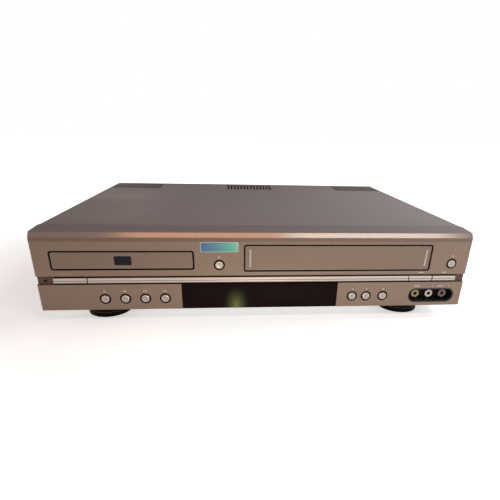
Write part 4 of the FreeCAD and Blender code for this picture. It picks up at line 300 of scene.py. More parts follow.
def new_group(name, inputs, outputs):
    """A node group that takes a place and named values, and puts out named values."""
    group = bpy.data.node_groups.new(name, "ShaderNodeTree")
    for label, kind, default in (("Vector", VECTOR, (0, 0, 0)), *inputs):
        socket = group.interface.new_socket(label, in_out="INPUT", socket_type=kind)
        socket.default_value = default
    for label in outputs:
        group.interface.new_socket(label, in_out="OUTPUT", socket_type=VALUE)
    return group, group.nodes.new("NodeGroupInput").outputs, group.nodes.new("NodeGroupOutput").inputs


def grain_group():
    """Fine grain: a height for the bump, a small tone change, and a slow change over the piece."""
    group, given, made = new_group("fine_grain", [("Grain Scale", VALUE, 2500.0),
                                                  ("Slow Scale", VALUE, 9.0)], ("Height", "Tone", "Slow"))
    fine = noise(group, given["Vector"], given["Grain Scale"], 2.0, 0.6)
    slow = noise(group, given["Vector"], given["Slow Scale"], 3.0)
    group.links.new(fine, made["Height"])
    group.links.new(ramp(group, fine, 0.3, 0.7), made["Tone"])
    group.links.new(ramp(group, slow, 0.3, 0.7), made["Slow"])
    return group


def dust_group():
    """Dust: most on faces that look up, broken by two sizes of noise."""
    group, given, made = new_group("settled_dust", [("Amount", VALUE, 0.3)], ("Dust",))
    normal = node(group, "ShaderNodeNewGeometry").outputs["Normal"]
    upward = node(group, "ShaderNodeSeparateXYZ", {0: normal}).outputs["Z"]
    patches = noise(group, given["Vector"], 14.0, 5.0)
    specks = noise(group, given["Vector"], 900.0, 2.0)
    lying = overlap(group, ramp(group, specks, 0.45, 0.75), patches, ramp(group, upward, 0.2, 0.95))
    group.links.new(maths(group, "MULTIPLY", lying, given["Amount"], clamp=True), made["Dust"])
    return group


def disc_group():
    """The distance from an axis through a centre, and 1 within a radius of it.

    The axis is the zero of the flattening vector.
    """
    group, given, made = new_group("disc_mask", [
        ("Centre", VECTOR, (0, 0, 0)), ("Flatten", VECTOR, (1, 0, 1)), ("Radius", VALUE, 4 * MM)],
        ("Inside", "Distance"))
    away = vectors(group, "SUBTRACT", given["Vector"], given["Centre"])
    distance = vectors(group, "LENGTH", vectors(group, "MULTIPLY", away, given["Flatten"]))
    group.links.new(distance, made["Distance"])
    group.links.new(maths(group, "LESS_THAN", distance, given["Radius"]), made["Inside"])
    return group


def beyond_group():
    """1 where the place along a direction is past a level, with a short soft step."""
    group, given, made = new_group("beyond_level", [
        ("Direction", VECTOR, UP), ("Level", VALUE, 0.0), ("Soft", VALUE, 0.1 * MM)], ("Beyond",))
    reached = vectors(group, "DOT_PRODUCT", given["Vector"], given["Direction"])
    group.links.new(past(group, reached, given["Level"], given["Soft"]), made["Beyond"])
    return group


def outline_group():
    """How far a place is outside a rounded rectangle in the front plane; below zero inside it."""
    group, given, made = new_group("outline_distance", [
        ("Centre", VECTOR, (0, 0, 0)), ("Half Size", VECTOR, (1, 0, 1)), ("Radius", VALUE, MM)],
        ("Distance",))
    away = vectors(group, "SUBTRACT", given["Vector"], given["Centre"])
    over = vectors(group, "SUBTRACT", vectors(group, "ABSOLUTE", away), given["Half Size"])
    parts = node(group, "ShaderNodeSeparateXYZ", {0: over}).outputs
    across, up = (maths(group, "ADD", parts[axis], given["Radius"]) for axis in "XZ")
    corner = node(group, "ShaderNodeCombineXYZ", {"X": maths(group, "MAXIMUM", across, 0.0),
                                                  "Z": maths(group, "MAXIMUM", up, 0.0)}).outputs[0]
    inside = maths(group, "MINIMUM", maths(group, "MAXIMUM", across, up), 0.0)
    total = maths(group, "ADD", vectors(group, "LENGTH", corner), inside)
    group.links.new(maths(group, "SUBTRACT", total, given["Radius"]), made["Distance"])
    return group


GRAIN, DUST, DISC, BEYOND = grain_group(), dust_group(), disc_group(), beyond_group()
OUTLINE = outline_group()


def place_group(tree, group, inputs):
    """A shared effect placed in a material, fed with Object coordinates."""
    placed = node(tree, "ShaderNodeGroup", node_tree=group)
    feed(tree, placed, {"Vector": object_place(tree), **inputs})
    return placed.outputs


def disc_mask(tree, middle, radius, flatten=(1, 0, 1)):
    """Inside a radius of an axis, along Y unless flattened otherwise."""
    return place_group(tree, DISC, {"Centre": tuple(middle), "Radius": radius,
                                    "Flatten": flatten})["Inside"]


def beyond(tree, direction, level, soft=0.1 * MM):
    """1 past a level along a direction."""
    return place_group(tree, BEYOND, {"Direction": direction, "Level": level, "Soft": soft})["Beyond"]


def band(tree, direction, low, high, soft=0.1 * MM, high_soft=None):
    """1 between two levels along a direction."""
    return maths(tree, "SUBTRACT", beyond(tree, direction, low, soft),
                 beyond(tree, direction, high, high_soft or soft))


def outline_distance(tree, low, high, radius):
    """Distance outside a rounded rectangle between two corners."""
    middle, half = (low + high) / 2, (high - low) / 2
    return place_group(tree, OUTLINE, {"Centre": tuple(middle), "Half Size": tuple(half),
                                       "Radius": radius})["Distance"]


def add_bump(tree, shader, height, strength, distance, under=None):
    """A bump from one height on the shader's normal, or on a normal that is already changed."""
    inputs = {"Height": height, "Strength": strength, "Distance": distance}
    if under:
        inputs["Normal"] = under
    tree.links.new(node(tree, "ShaderNodeBump", inputs).outputs[0], shader.inputs["Normal"])


def eased_edges(tree, radius, lean=False):
    """A normal that rounds the edges; with a lean, the face also tips forward towards its top.

    The lean is the slope of a height that grows with the square of the rise over its foot.
    """
    eased = node(tree, "ShaderNodeBevel", {"Radius": radius}, samples=4).outputs["Normal"]
    if not lean:
        return eased
    rise = maths(tree, "SUBTRACT", maths(tree, "MINIMUM", along(tree, "Z"), BEVEL_FOOT), LEAN_FOOT)
    square = maths(tree, "POWER", maths(tree, "MAXIMUM", rise, 0.0), 2.0)
    return node(tree, "ShaderNodeBump", {"Height": maths(tree, "MULTIPLY", square, LEAN), "Strength": 1.0,
                                         "Distance": 1.0, "Normal": eased}).outputs[0]


def shade(colour, factor):
    """A colour made darker or lighter."""
    return tuple(min(1, part * factor) for part in colour)


def coated(name, colour, roughness, metallic=0.0, coat=0.0, vary=0.10, grain=2500.0, depth=0.15,
           dust=0.15, rough_vary=0.06, shine=0.5, round_edge=0.0, lean=False):
    """Paint or moulded plastic: grain in tone and height, slow changes of gloss, and a little dust.

    With no depth the normal stays as it is.
    """
    material, tree, shader = new_material(name, colour, roughness, metallic, coat, coat_roughness=0.12,
                                          shine=shine)
    marks = place_group(tree, GRAIN, {"Grain Scale": grain, "Slow Scale": 9.0})
    tone = mix(tree, marks["Tone"], shade(colour, 1 - vary), shade(colour, 1 + vary))
    lying = place_group(tree, DUST, {"Amount": dust})["Dust"]
    tree.links.new(mix(tree, lying, tone, TONE["dust"]), shader.inputs["Base Color"])
    gloss = ramp(tree, marks["Slow"], 0.0, 1.0, roughness - rough_vary, roughness + rough_vary)
    duller = maths(tree, "MULTIPLY", lying, 0.5)
    tree.links.new(maths(tree, "ADD", gloss, duller, clamp=True), shader.inputs["Roughness"])
    if depth:
        under = eased_edges(tree, round_edge, lean) if round_edge else None
        add_bump(tree, shader, marks["Height"], depth, 0.2 * MM, under)
    return material, tree, shader


def recolour(tree, shader, mask, colour, roughness=None, metallic=None):
    """Paints another finish over what a material already has, where a mask is 1."""
    def source(label):
        links = shader.inputs[label].links
        return links[0].from_socket if links else shader.inputs[label].default_value
    tree.links.new(mix(tree, mask, source("Base Color"), colour), shader.inputs["Base Color"])
    for label, given in (("Roughness", roughness), ("Metallic", metallic)):
        if given is not None:
            tree.links.new(blend_values(tree, mask, source(label), given), shader.inputs[label])


def paint_shade_black(tree, shader, mask, roughness=0.7):
    """Paints black shade where a mask is 1: the painted shade of gaps, holes and hidden inner sides."""
    recolour(tree, shader, mask, TONE["gap"], roughness, 0.0)


# Finishes of the solids that the front shows

def cover_paint():
    """Fine satin metallic paint on the folded cover, with painted black shade on its inner side and in its
    slots.
    """
    material, tree, shader = coated("cover_paint", TONE["cover"], 0.60, grain=3800.0, depth=0.10,
                                    dust=0.04, shine=0.01, round_edge=0.6 * MM)
    low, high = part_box("top_cover")
    sheet, skin = 1.1 * MM, 0.15 * MM
    under = elsewhere(tree, beyond(tree, UP, high.z - skin))
    across = band(tree, RIGHT, low.x + sheet, high.x - sheet)
    ahead = elsewhere(tree, beyond(tree, BACK, high.y - 3 * sheet))
    # painted shade: the cover's inner side and the walls of its slots are painted near black
    recolour(tree, shader, overlap(tree, under, across, ahead), TONE["cover_inside_shade"], 0.8, 0.0)
    return material


def front_paint(name, colour, vary, depth, shine, round_edge):
    """Champagne metallic paint on moulded plastic, on a face that leans a little."""
    return coated(name, colour, 0.32, metallic=0.22, vary=vary, grain=4200.0, depth=depth, dust=0.02,
                  shine=shine, round_edge=round_edge, lean=True)


def panel_paint():
    """The moulded front: its crown painted greyer as painted shade, its bevel glossy, a painted shade strip
    under the bevel, and black painted shade in its groove, on its inside and round its openings.
    """
    material, tree, shader = front_paint("panel_paint", TONE["panel"], 0.08, 0.06, 0.25, 0.35 * MM)
    low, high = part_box("front_panel")
    crown_drop, bevel_drop, bevel_back, bevel_shade_height, soft = (
        1.7 * MM, 5.9 * MM, 2.7 * MM, 4.5 * MM, 0.2 * MM)
    behind_bevel = beyond(tree, BACK, FRONT + bevel_back, soft)
    # painted shade: the crown is painted greyer and darker, as the cooler, weaker light from above makes it
    # look
    painted_crown_shade = overlap(tree, beyond(tree, UP, high.z - crown_drop, soft), behind_bevel)
    recolour(tree, shader, painted_crown_shade, TONE["painted_crown_shade"], 0.85, 0.0)
    bevel = overlap(tree, beyond(tree, UP, high.z - bevel_drop, soft), elsewhere(tree, behind_bevel))
    recolour(tree, shader, bevel, TONE["bevel"], 0.16, 0.42)
    # painted shade: a soft dark strip painted on the face just under the bevel
    painted_bevel_shade = band(tree, UP, BEVEL_FOOT - bevel_shade_height, BEVEL_FOOT - 0.1 * MM, 1.5 * MM, 0.3 * MM)
    recolour(tree, shader, maths(tree, "MULTIPLY", painted_bevel_shade, 0.36), TONE["painted_bevel_shade"])
    # painted shade: the panel's sunk inside, the groove round the bar included, is painted black
    sunk = beyond(tree, BACK, FRONT + 0.12 * MM)
    side_wall, floor_wall, roof = 2 * MM, 1 * MM, 6.2 * MM
    inside = overlap(tree, sunk, band(tree, RIGHT, low.x + side_wall, high.x - side_wall),
                     band(tree, UP, low.z + floor_wall, high.z - roof))
    paint_shade_black(tree, shader, inside)
    # painted shade: a thin lip round each door's opening is painted black to widen the dark gap
    opening_corner, lip = 2.4 * MM, 0.30 * MM
    for door in OPENINGS:
        away = outline_distance(tree, *opening_corners(door), opening_corner)
        paint_shade_black(tree, shader, elsewhere(tree, past(tree, away, lip)))
    recolour(tree, shader, overlap(tree, groove_ends(tree), sunk), TONE["groove_end"], 0.5, 0.2)
    return material


def groove_ends(tree):
    """The groove's bare floor, left and right of the bar."""
    bar_low, bar_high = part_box("trim_bar")
    ends = maths(tree, "ADD", elsewhere(tree, beyond(tree, RIGHT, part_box("power_button")[0].x)),
                 beyond(tree, RIGHT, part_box("vcr_select_button")[1].x))
    room_below, room_above, depth = 1.4 * MM, 2.4 * MM, 2.3 * MM
    groove = band(tree, UP, bar_low.z - room_below, bar_high.z + room_above)
    shallow = elsewhere(tree, beyond(tree, BACK, FRONT + depth))
    return overlap(tree, shallow, groove, ends)


def front_edges(tree, shader, door, behind):
    """A door's edges: painted black shade outside its face and behind it, with a thin painted highlight
    along its left and lower sides.
    """
    gap, corner, line, edge, soft, clear = 1.15 * MM, 1.6 * MM, 0.45 * MM, 0.3 * MM, 0.2 * MM, 2.0 * MM
    diagonal = Vector((1, 0, 1))
    low, high = opening_corners(door)
    low, high = low + gap * diagonal, high - gap * diagonal
    away = outline_distance(tree, low, high, corner)
    shifted = outline_distance(tree, low + line * diagonal, high + clear * diagonal, corner)
    # painted highlight: a thin light line along the left and lower edges, where the chamfer catches light
    light = overlap(tree, between(tree, shifted, -0.35 * MM, edge, soft),
                    elsewhere(tree, past(tree, away, -edge, soft)))
    recolour(tree, shader, maths(tree, "MULTIPLY", light, 0.55), TONE["door_edge_highlight"], 0.3)
    # painted shade: black outside the face and behind it
    paint_shade_black(tree, shader, past(tree, away, -0.22 * MM), 0.6)
    paint_shade_black(tree, shader, beyond(tree, BACK, FRONT + behind), 0.6)


def door_paint():
    """The same paint in a darker tone, as painted shade, on the tray's front, with painted black shade
    outside and behind its face.
    """
    # painted shade: the tray's front gets the panel's paint in a darker tone
    material, tree, shader = front_paint("door_paint", TONE["door"], 0.07, 0.05, 0.3, 0.3 * MM)
    front_edges(tree, shader, "tray_door", 0.45 * MM)
    return material


def flap_paint():
    """The flap's paint, with its two ribs painted as ridges, a painted highlight on each ridge and painted
    shade between, and painted black shade behind its edge.
    """
    # painted shade: the flap gets the panel's paint in a darker tone
    material, tree, shader = front_paint("flap_paint", TONE["door"], 0.07, 0.05, 0.3, 0.3 * MM)
    ribs = elsewhere(tree, beyond(tree, BACK, FRONT + 0.15 * MM, 0.05 * MM))
    ridge_pitch = 1.2 * MM
    # painted highlight and shade: each ridge is painted light and each valley dark
    wave = maths(tree, "SINE", maths(tree, "MULTIPLY", along(tree, "Z"), 2 * math.pi / ridge_pitch))
    painted_ridge_light = mix(tree, ramp(tree, wave, -0.6, 0.2), TONE["rib_valley_shade"], TONE["rib_ridge_highlight"])
    recolour(tree, shader, ribs, painted_ridge_light, 0.35)
    front_edges(tree, shader, "cassette_door", 0.65 * MM)
    return material


def bar_metal():
    """Satin metal drawn along the bar: fine lines along X, a darker, duller band along the middle as painted
    shade of its step, and painted shade at its foot, in its joints and behind.
    """
    material, tree, shader = new_material("bar_metal", TONE["bar"], 0.33, metallic=0.85)
    drawn = node(tree, "ShaderNodeMapping", {"Vector": object_place(tree), "Scale": (6, 2600, 2600)})
    lines = noise(tree, drawn.outputs[0], 1.0, 3.0)
    tree.links.new(mix(tree, lines, TONE["bar_dark"], TONE["bar_light"]), shader.inputs["Base Color"])
    tree.links.new(ramp(tree, lines, 0.0, 1.0, 0.28, 0.42), shader.inputs["Roughness"])
    add_bump(tree, shader, lines, 0.08, 0.1 * MM, eased_edges(tree, 0.3 * MM))
    middle, foot = centre("trim_bar").z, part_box("trim_bar")[0].z
    step_shade_below, step_shade_above, foot_height, half_joint, depth = (
        0.4 * MM, 0.3 * MM, 0.9 * MM, 0.5 * MM, 4.7 * MM)
    # painted shade: a darker band along the middle, where the bar's two facets meet
    notch = band(tree, UP, middle - step_shade_below, middle + step_shade_above)
    recolour(tree, shader, notch, TONE["bar_notch"], 0.4)
    # painted shade: the bar's lower edge is painted darker
    shade_below = elsewhere(tree, beyond(tree, UP, foot + foot_height, 0.4 * MM))
    recolour(tree, shader, shade_below, TONE["bar_foot_shade"])
    # painted shade: black in the joints between the bar's pieces, wider than the real gaps
    for left, right in zip(BAR_PIECES, BAR_PIECES[1:]):
        joint = (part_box(left)[1].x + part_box(right)[0].x) / 2
        gap = between(tree, along(tree, "X"), joint - half_joint, joint + half_joint)
        paint_shade_black(tree, shader, gap, 0.6)
    # painted shade: the bar's back is painted black
    recolour(tree, shader, beyond(tree, BACK, FRONT + depth), TONE["bar_back_shade"], 0.6, 0.0)
    return material


def window_gloss():
    """Smoked acrylic: near black, with the display's glass barely told apart behind it.

    A green painted reflection fades away from its middle and is broken by fine specks.
    """
    material, tree, shader = coated("window_gloss", TONE["window"], 0.10, vary=0.2, grain=60.0,
                                    depth=0.0, dust=0.02, rough_vary=0.02, shine=0.04)
    low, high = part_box("display_module")
    side, edge = 4 * MM, 1 * MM
    behind = overlap(tree, band(tree, RIGHT, low.x + side, high.x - side, 2 * MM),
                     band(tree, UP, low.z + edge, high.z - edge, 1 * MM))
    recolour(tree, shader, behind, TONE["display"])
    # painted reflection: a green patch where a lamp's reflection shows in the window
    middle, reach = (-25 * MM, 17 * MM), (15 * MM, 24 * MM)
    scaled = node(tree, "ShaderNodeMapping", {
        "Vector": object_place(tree), "Location": (-middle[0] / reach[0], 0, -middle[1] / reach[1]),
        "Scale": (1 / reach[0], 0, 1 / reach[1])}).outputs[0]
    near = ramp(tree, vectors(tree, "LENGTH", scaled), 0.0, 1.0, 1.0, 0.0)
    specks = place_group(tree, GRAIN, {"Grain Scale": 700.0, "Slow Scale": 160.0})["Tone"]
    painted_reflection = maths(tree, "MULTIPLY", maths(tree, "POWER", near, 2.2),
                   ramp(tree, specks, 0.0, 1.0, 0.55, 1.25), clamp=True)
    recolour(tree, shader, painted_reflection, TONE["glow"])
    return material


def key_silver(name):
    """A silvered cap: a slightly dished face in a rim with a painted highlight, and painted black shade from
    the rim outwards and behind its face.

    The dish's height grows with the square of the distance from the middle, up to the rim.
    """
    material, tree, shader = coated("silver_" + name, TONE["key"], 0.34, metallic=0.55, vary=0.05,
                                    grain=5000.0, depth=0.0, dust=0.0, rough_vary=0.04, shine=0.3)
    dish, rim, shoulder, edge = 2.5 * MM, 3.2 * MM, 3.0 * MM, 3.8 * MM
    away = place_group(tree, DISC, {"Centre": tuple(centre(name))})["Distance"]
    rise = maths(tree, "POWER", ramp(tree, away, 0.0, dish), 2.0)
    fall = ramp(tree, away, shoulder, edge, 0.0, 1.5)
    add_bump(tree, shader, maths(tree, "SUBTRACT", rise, fall), 1.0, 0.22 * MM)
    # painted highlight: the rim round the dish is painted lighter
    recolour(tree, shader, between(tree, away, dish, rim, 0.2 * MM), TONE["key_rim_highlight"], 0.3)
    # painted shade: black from the rim outwards and on the cap's sides behind its face
    paint_shade_black(tree, shader, past(tree, away, edge - 0.02 * MM))
    paint_shade_black(tree, shader, beyond(tree, BACK, FRONT + 0.2 * MM))
    return material


def socket_finish(name, colour):
    """A nickel barrel with a coloured ring of plastic in its mouth, and its bore painted dark as painted
    shade.
    """
    material, tree, shader = coated("socket_" + name, TONE["barrel"], 0.30, metallic=1.0, vary=0.06,
                                    grain=3000.0, depth=0.03, dust=0.04)
    ring_radius, bore_radius, ring_depth = 3.9 * MM, 1.9 * MM, 0.9 * MM
    middle, mouth = centre(name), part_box(name)[0].y + ring_depth
    ring = overlap(tree, disc_mask(tree, middle, ring_radius), elsewhere(tree, beyond(tree, BACK, mouth)))
    recolour(tree, shader, ring, colour, 0.3, 0.0)
    # painted shade: everything inside the bore's radius is painted near black
    recolour(tree, shader, disc_mask(tree, middle, bore_radius), TONE["bore"], 0.5, 0.0)
    return material


def foot_rubber():
    """Black rubber with a painted highlight line round the foot's step."""
    material, tree, shader = coated("foot_black", TONE["foot"], 0.40, depth=0.04, dust=0.0, shine=0.04)
    painted_highlight_line = between(tree, along(tree, "Z"), 4.6 * MM, 5.4 * MM, 0.3 * MM)
    recolour(tree, shader, painted_highlight_line, TONE["foot_highlight"])
    return material


# Finishes of the case and of what is inside

def plastic(name, colour, roughness=0.45, grain=1800.0, depth=0.2, dust=0.2, coat=0.0, shine=0.35):
    """Moulded plastic with a fine spark-eroded texture."""
    return coated(name, colour, roughness, vary=0.08, grain=grain, depth=depth, dust=dust, coat=coat,
                  shine=shine)[0]


def zinc_steel(name="zinc_steel", colour=TONE["zinc"]):
    """Zinc plated sheet: cells of slightly different grey, each with its own gloss."""
    material, tree, shader = new_material(name, colour, 0.35, metallic=0.9)
    cells = node(tree, "ShaderNodeTexVoronoi", {"Vector": object_place(tree), "Scale": 160.0,
                                                "Randomness": 1.0}).outputs["Color"]
    grey = node(tree, "ShaderNodeSeparateColor", {0: cells}).outputs[0]
    tone = mix(tree, grey, shade(colour, 0.86), shade(colour, 1.1))
    lying = place_group(tree, DUST, {"Amount": 0.3})["Dust"]
    tree.links.new(mix(tree, lying, tone, TONE["zinc_dust"]), shader.inputs["Base Color"])
    tree.links.new(maths(tree, "ADD", ramp(tree, grey, 0.0, 1.0, 0.26, 0.44), lying, clamp=True),
                   shader.inputs["Roughness"])
    return material


def turned_steel(name, colour=TONE["steel"], roughness=0.2):
    """Ground or turned metal: fine marks from one noise, in tone and gloss."""
    material, tree, shader = new_material(name, colour, roughness, metallic=1.0)
    marks = place_group(tree, GRAIN, {"Grain Scale": 4200.0, "Slow Scale": 20.0})
    tree.links.new(mix(tree, marks["Tone"], shade(colour, 0.9), shade(colour, 1.06)),
                   shader.inputs["Base Color"])
    tree.links.new(ramp(tree, marks["Slow"], 0.0, 1.0, roughness * 0.7, roughness * 1.4),
                   shader.inputs["Roughness"])
    add_bump(tree, shader, marks["Height"], 0.05, 0.1 * MM)
    return material


def threaded(name, direction, pitch):
    """Steel with a wave of one pitch along its axis, in height and in tone."""
    material, tree, shader = new_material(name, (0.6, 0.6, 0.6), 0.25, metallic=1.0)
    reached = vectors(tree, "DOT_PRODUCT", object_place(tree), direction)
    wave = maths(tree, "SINE", maths(tree, "MULTIPLY", reached, 2 * math.pi / pitch))
    half = ramp(tree, wave, -1.0, 1.0)
    tree.links.new(mix(tree, half, TONE["thread_low"], TONE["thread_high"]), shader.inputs["Base Color"])
    add_bump(tree, shader, half, 0.6, 0.4 * MM)
    return material


def circuit_finish(name, direction, level):
    """Green lacquer with paler tracks; what stands past the board's face is black."""
    material, tree, shader = coated("lacquer_" + name, TONE["lacquer"], 0.35, vary=0.06, grain=900.0,
                                    depth=0.05, dust=0.25, coat=0.2)
    cells = node(tree, "ShaderNodeTexVoronoi", {"Vector": object_place(tree), "Scale": 130.0},
                 distance="MANHATTAN", feature="F1").outputs["Distance"]
    recolour(tree, shader, ramp(tree, cells, 0.42, 0.46), TONE["track"], 0.3)
    recolour(tree, shader, beyond(tree, direction, level, 0.2 * MM), TONE["parts"], 0.45)
    return material


def rear_socket_finish():
    """A black block whose barrels are nickel, with coloured rings in the barrels' mouths."""
    material, tree, shader = coated("rear_sockets", (0.018, 0.018, 0.018), 0.4, grain=1800.0, dust=0.2)
    low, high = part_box("rear_socket_block")
    out = beyond(tree, BACK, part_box("rear_panel")[1].y + 0.05 * MM, 0.05 * MM)
    recolour(tree, shader, out, (0.55, 0.53, 0.48), 0.25, 1.0)
    mouth = beyond(tree, BACK, high.y - 0.05 * MM, 0.02 * MM)
    colours, rows, ring_radius = ((0.72, 0.42, 0.03), (0.75, 0.75, 0.72), (0.45, 0.03, 0.03)), 2, 3.4 * MM
    step = (high.x - low.x) / len(colours)
    for column, colour in enumerate(colours):
        for row in range(rows):
            middle = (low.x + (column + 0.5) * step, 0, low.z + (row + 0.5) * step)
            recolour(tree, shader, overlap(tree, mouth, disc_mask(tree, middle, ring_radius)), colour,
                     0.35, 0.0)
    return material


def inlet_finish():
    """Black plastic with brass pins."""
    material, tree, shader = coated("inlet_black", (0.015, 0.015, 0.015), 0.4, grain=1800.0, dust=0.1)
    half_spacing, pin_radius = 4.3 * MM, 1.25 * MM
    for side in (-half_spacing, half_spacing):
        pin = disc_mask(tree, centre("mains_inlet") + Vector((side, 0, 0)), pin_radius)
        recolour(tree, shader, pin, (0.65, 0.48, 0.20), 0.25, 1.0)
    return material


def capped(name, colour, roughness, middle, radius, cap, **settings):
    """Plastic with a round patch of another finish, given as its colour, roughness and metallic."""
    material, tree, shader = coated(name, colour, roughness, **settings)
    recolour(tree, shader, disc_mask(tree, middle, radius, (1, 1, 0)), *cap)
    return material


def sled_finish():
    """Black plastic with a dark blue lens on its top."""
    material, tree, shader = coated("sled_black", (0.03, 0.03, 0.032), 0.4, grain=1500.0, dust=0.1)
    top, lens_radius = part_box("pickup_sled")[1].z, 2.0 * MM
    middle = (centre("turntable").x, centre("pickup_sled").y, top)
    lens = overlap(tree, disc_mask(tree, middle, lens_radius, (1, 1, 0)),
                   beyond(tree, UP, top - 0.2 * MM))
    recolour(tree, shader, lens, (0.05, 0.10, 0.25), 0.05)
    return material


def dress(material, *solids):
    """Gives one finish to some solids."""
    for solid in solids:
        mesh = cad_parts[solid].data
        mesh.materials.clear()
        mesh.materials.append(material)


def dress_front():
    """Every solid that the front shows."""
    dress(cover_paint(), "top_cover")
    dress(panel_paint(), "front_panel")
    dress(door_paint(), "tray_door")
    dress(flap_paint(), "cassette_door")
    dress(bar_metal(), *BAR_PIECES)
    dress(window_gloss(), "display_window")
    for name in ROUND_KEYS:
        dress(key_silver(name), name)
    dress(plastic("socket_black", TONE["socket_panel"], 0.25, dust=0.05, depth=0.05, shine=0.3),
          "front_socket_panel")
    for name, colour in (("video_socket", (0.34, 0.235, 0.05)), ("audio_left_socket", (0.60, 0.58, 0.54)),
                         ("audio_right_socket", (0.22, 0.07, 0.07))):
        dress(socket_finish(name, colour), name)
    dress(plastic("lamp_lens", TONE["lamp"], 0.4, dust=0.0, shine=0.1), "standby_lamp")
    dress(foot_rubber(), "feet")


def dress_case():
    """The case's steel, its back and what the back carries."""
    dress(zinc_steel(), "base_chassis", "rear_panel", "clamp_bridge", "vcr_chassis", "cassette_holder")
    dress(turned_steel("screw_steel", (0.60, 0.60, 0.60)), "cover_screws")
    dress(zinc_steel("tuner_tin", (0.62, 0.62, 0.60)), "tuner_module")
    dress(rear_socket_finish(), "rear_socket_block")
    dress(inlet_finish(), "mains_inlet")


def dress_mechanism():
    """What the doors and the slots let one see."""
    dress(plastic("tray_black", (0.030, 0.028, 0.027), 0.42, grain=2200.0, depth=0.15, dust=0.12),
          "disc_tray")
    dress(plastic("frame_black", (0.022, 0.021, 0.021), 0.5, depth=0.25, dust=0.3), "dvd_loader_frame")
    dress(plastic("nylon", (0.72, 0.70, 0.64), 0.4, depth=0.08, dust=0.05), "tray_drive_gear",
          "motor_pulley", "disc_clamp")
    dress(turned_steel("motor_can", (0.55, 0.55, 0.54), 0.3), "tray_motor")
    dress(plastic("rubber", (0.018, 0.018, 0.018), 0.7, grain=1200.0, depth=0.3, dust=0.2),
          "tray_belt", "pinch_roller")
    spindle = centre("turntable")
    dress(capped("traverse_grey", (0.10, 0.10, 0.105), 0.45, spindle, 11.6 * MM, ((0.6, 0.6, 0.6), 0.3, 1.0),
                 vary=0.08, grain=1800.0, depth=0.2, dust=0.2), "traverse_frame")
    dress(capped("turntable_seat", (0.03, 0.03, 0.03), 0.65, spindle, 7.6 * MM,
                 ((0.55, 0.55, 0.55), 0.3, 0.7), grain=1500.0, depth=0.2, dust=0.05), "turntable")
    dress(sled_finish(), "pickup_sled")
    dress(turned_steel("ground_steel"), "guide_rods", "capstan_flywheel")
    dress(zinc_steel("arm_steel", (0.5, 0.5, 0.49)), "pinch_arm")
    dress(threaded("screw_thread", BACK, 3 * MM), "feed_screw")
    dress(threaded("spring_wire", RIGHT, 0.4 * MM), "door_spring")
    dress(turned_steel("drum_aluminium", (0.74, 0.74, 0.73), 0.16), "drum_base", "head_drum")
    dress(plastic("reel_white", (0.70, 0.69, 0.65), 0.35, depth=0.08, dust=0.08), "supply_reel_table",
          "take_up_reel_table")
    dress(plastic("display_glass", (0.03, 0.035, 0.032), 0.12, depth=0.02, coat=0.4), "display_module")
    board, skin = 1.6 * MM, 0.05 * MM
    flat_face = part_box("main_circuit_board")[0].z + board + skin
    for name in ("main_circuit_board", "power_supply_board"):
        dress(circuit_finish(name, UP, flat_face), name)
    upright_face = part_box("front_circuit_board")[1].y - board - 2 * skin
    dress(circuit_finish("front_circuit_board", (0, -1, 0), -upright_face), "front_circuit_board")


# New pieces: surfaces worked out as whole arrays

def add_piece(name, points, faces, material, body):
    """A closed mesh from arrays of points and faces, facing outwards and riding on a body."""
    mesh = bpy.data.meshes.new(name)
    mesh.from_pydata(points.tolist(), [], faces)
    mesh.materials.append(material)
    mesh.validate()
    outward = bmesh.new()
    outward.from_mesh(mesh)
    bmesh.ops.recalc_face_normals(outward, faces=outward.faces)
    outward.to_mesh(mesh)
    outward.free()
    piece = bpy.data.objects.new(name, mesh)
    bpy.context.scene.collection.objects.link(piece)
    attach(piece, body)


def ring_faces(rings, around):
    """Quads between successive closed rings of points."""
    ring, place = np.meshgrid(np.arange(rings - 1), np.arange(around), indexing="ij")
    after = (place + 1) % around
    return np.stack([ring * around + place, ring * around + after, (ring + 1) * around + after,
                     (ring + 1) * around + place], -1).reshape(-1, 4).tolist()


def rounded_outline(width, height, radius, count=40):
    """A rounded rectangle: each angle's point on a corner circle, moved out by its quadrant's signs."""
    angle = (np.arange(count) + 0.5) * 2 * np.pi / count
    across = np.sign(np.cos(angle)) * (width / 2 - radius) + radius * np.cos(angle)
    up = np.sign(np.sin(angle)) * (height / 2 - radius) + radius * np.sin(angle)
    return np.stack([across, up], -1)


def plate(name, box, corner, back, front, bevel, material, body):
    """A closed plate in the front plane: its outline carried from back to front, then in by a bevel."""
    left, right, low, high = box
    rings = []
    for depth, inset in ((back, 0), (front + bevel, 0), (front, bevel)):
        shape = rounded_outline(right - left - 2 * inset, high - low - 2 * inset, corner - inset)
        level = np.full(len(shape), depth)
        rings.append(np.stack([(left + right) / 2 + shape[:, 0], level, (low + high) / 2 + shape[:, 1]], -1))
    around = len(rings[0])
    faces = ring_faces(3, around)
    faces += [list(range(around))[::-1], list(range(2 * around, 3 * around))]
    add_piece(name, np.concatenate(rings), faces, material, body)


def turned_ring(name, middle, profile, material, body, around=48):
    """A closed ring about the Y axis: a profile of (radius, depth) pairs carried round a full turn."""
    shape = np.array(profile)
    angle = np.arange(around) * 2 * np.pi / around
    radius, depth = shape[:, :1], shape[:, 1:]
    points = np.stack([middle.x + radius * np.cos(angle), np.broadcast_to(depth, (len(shape), around)),
                       middle.z + radius * np.sin(angle)], -1).reshape(-1, 3)
    last = (len(shape) - 1) * around
    faces = ring_faces(len(shape), around)
    faces += [[last + place, last + (place + 1) % around, (place + 1) % around, place]
              for place in range(around)]
    add_piece(name, points, faces, material, body)


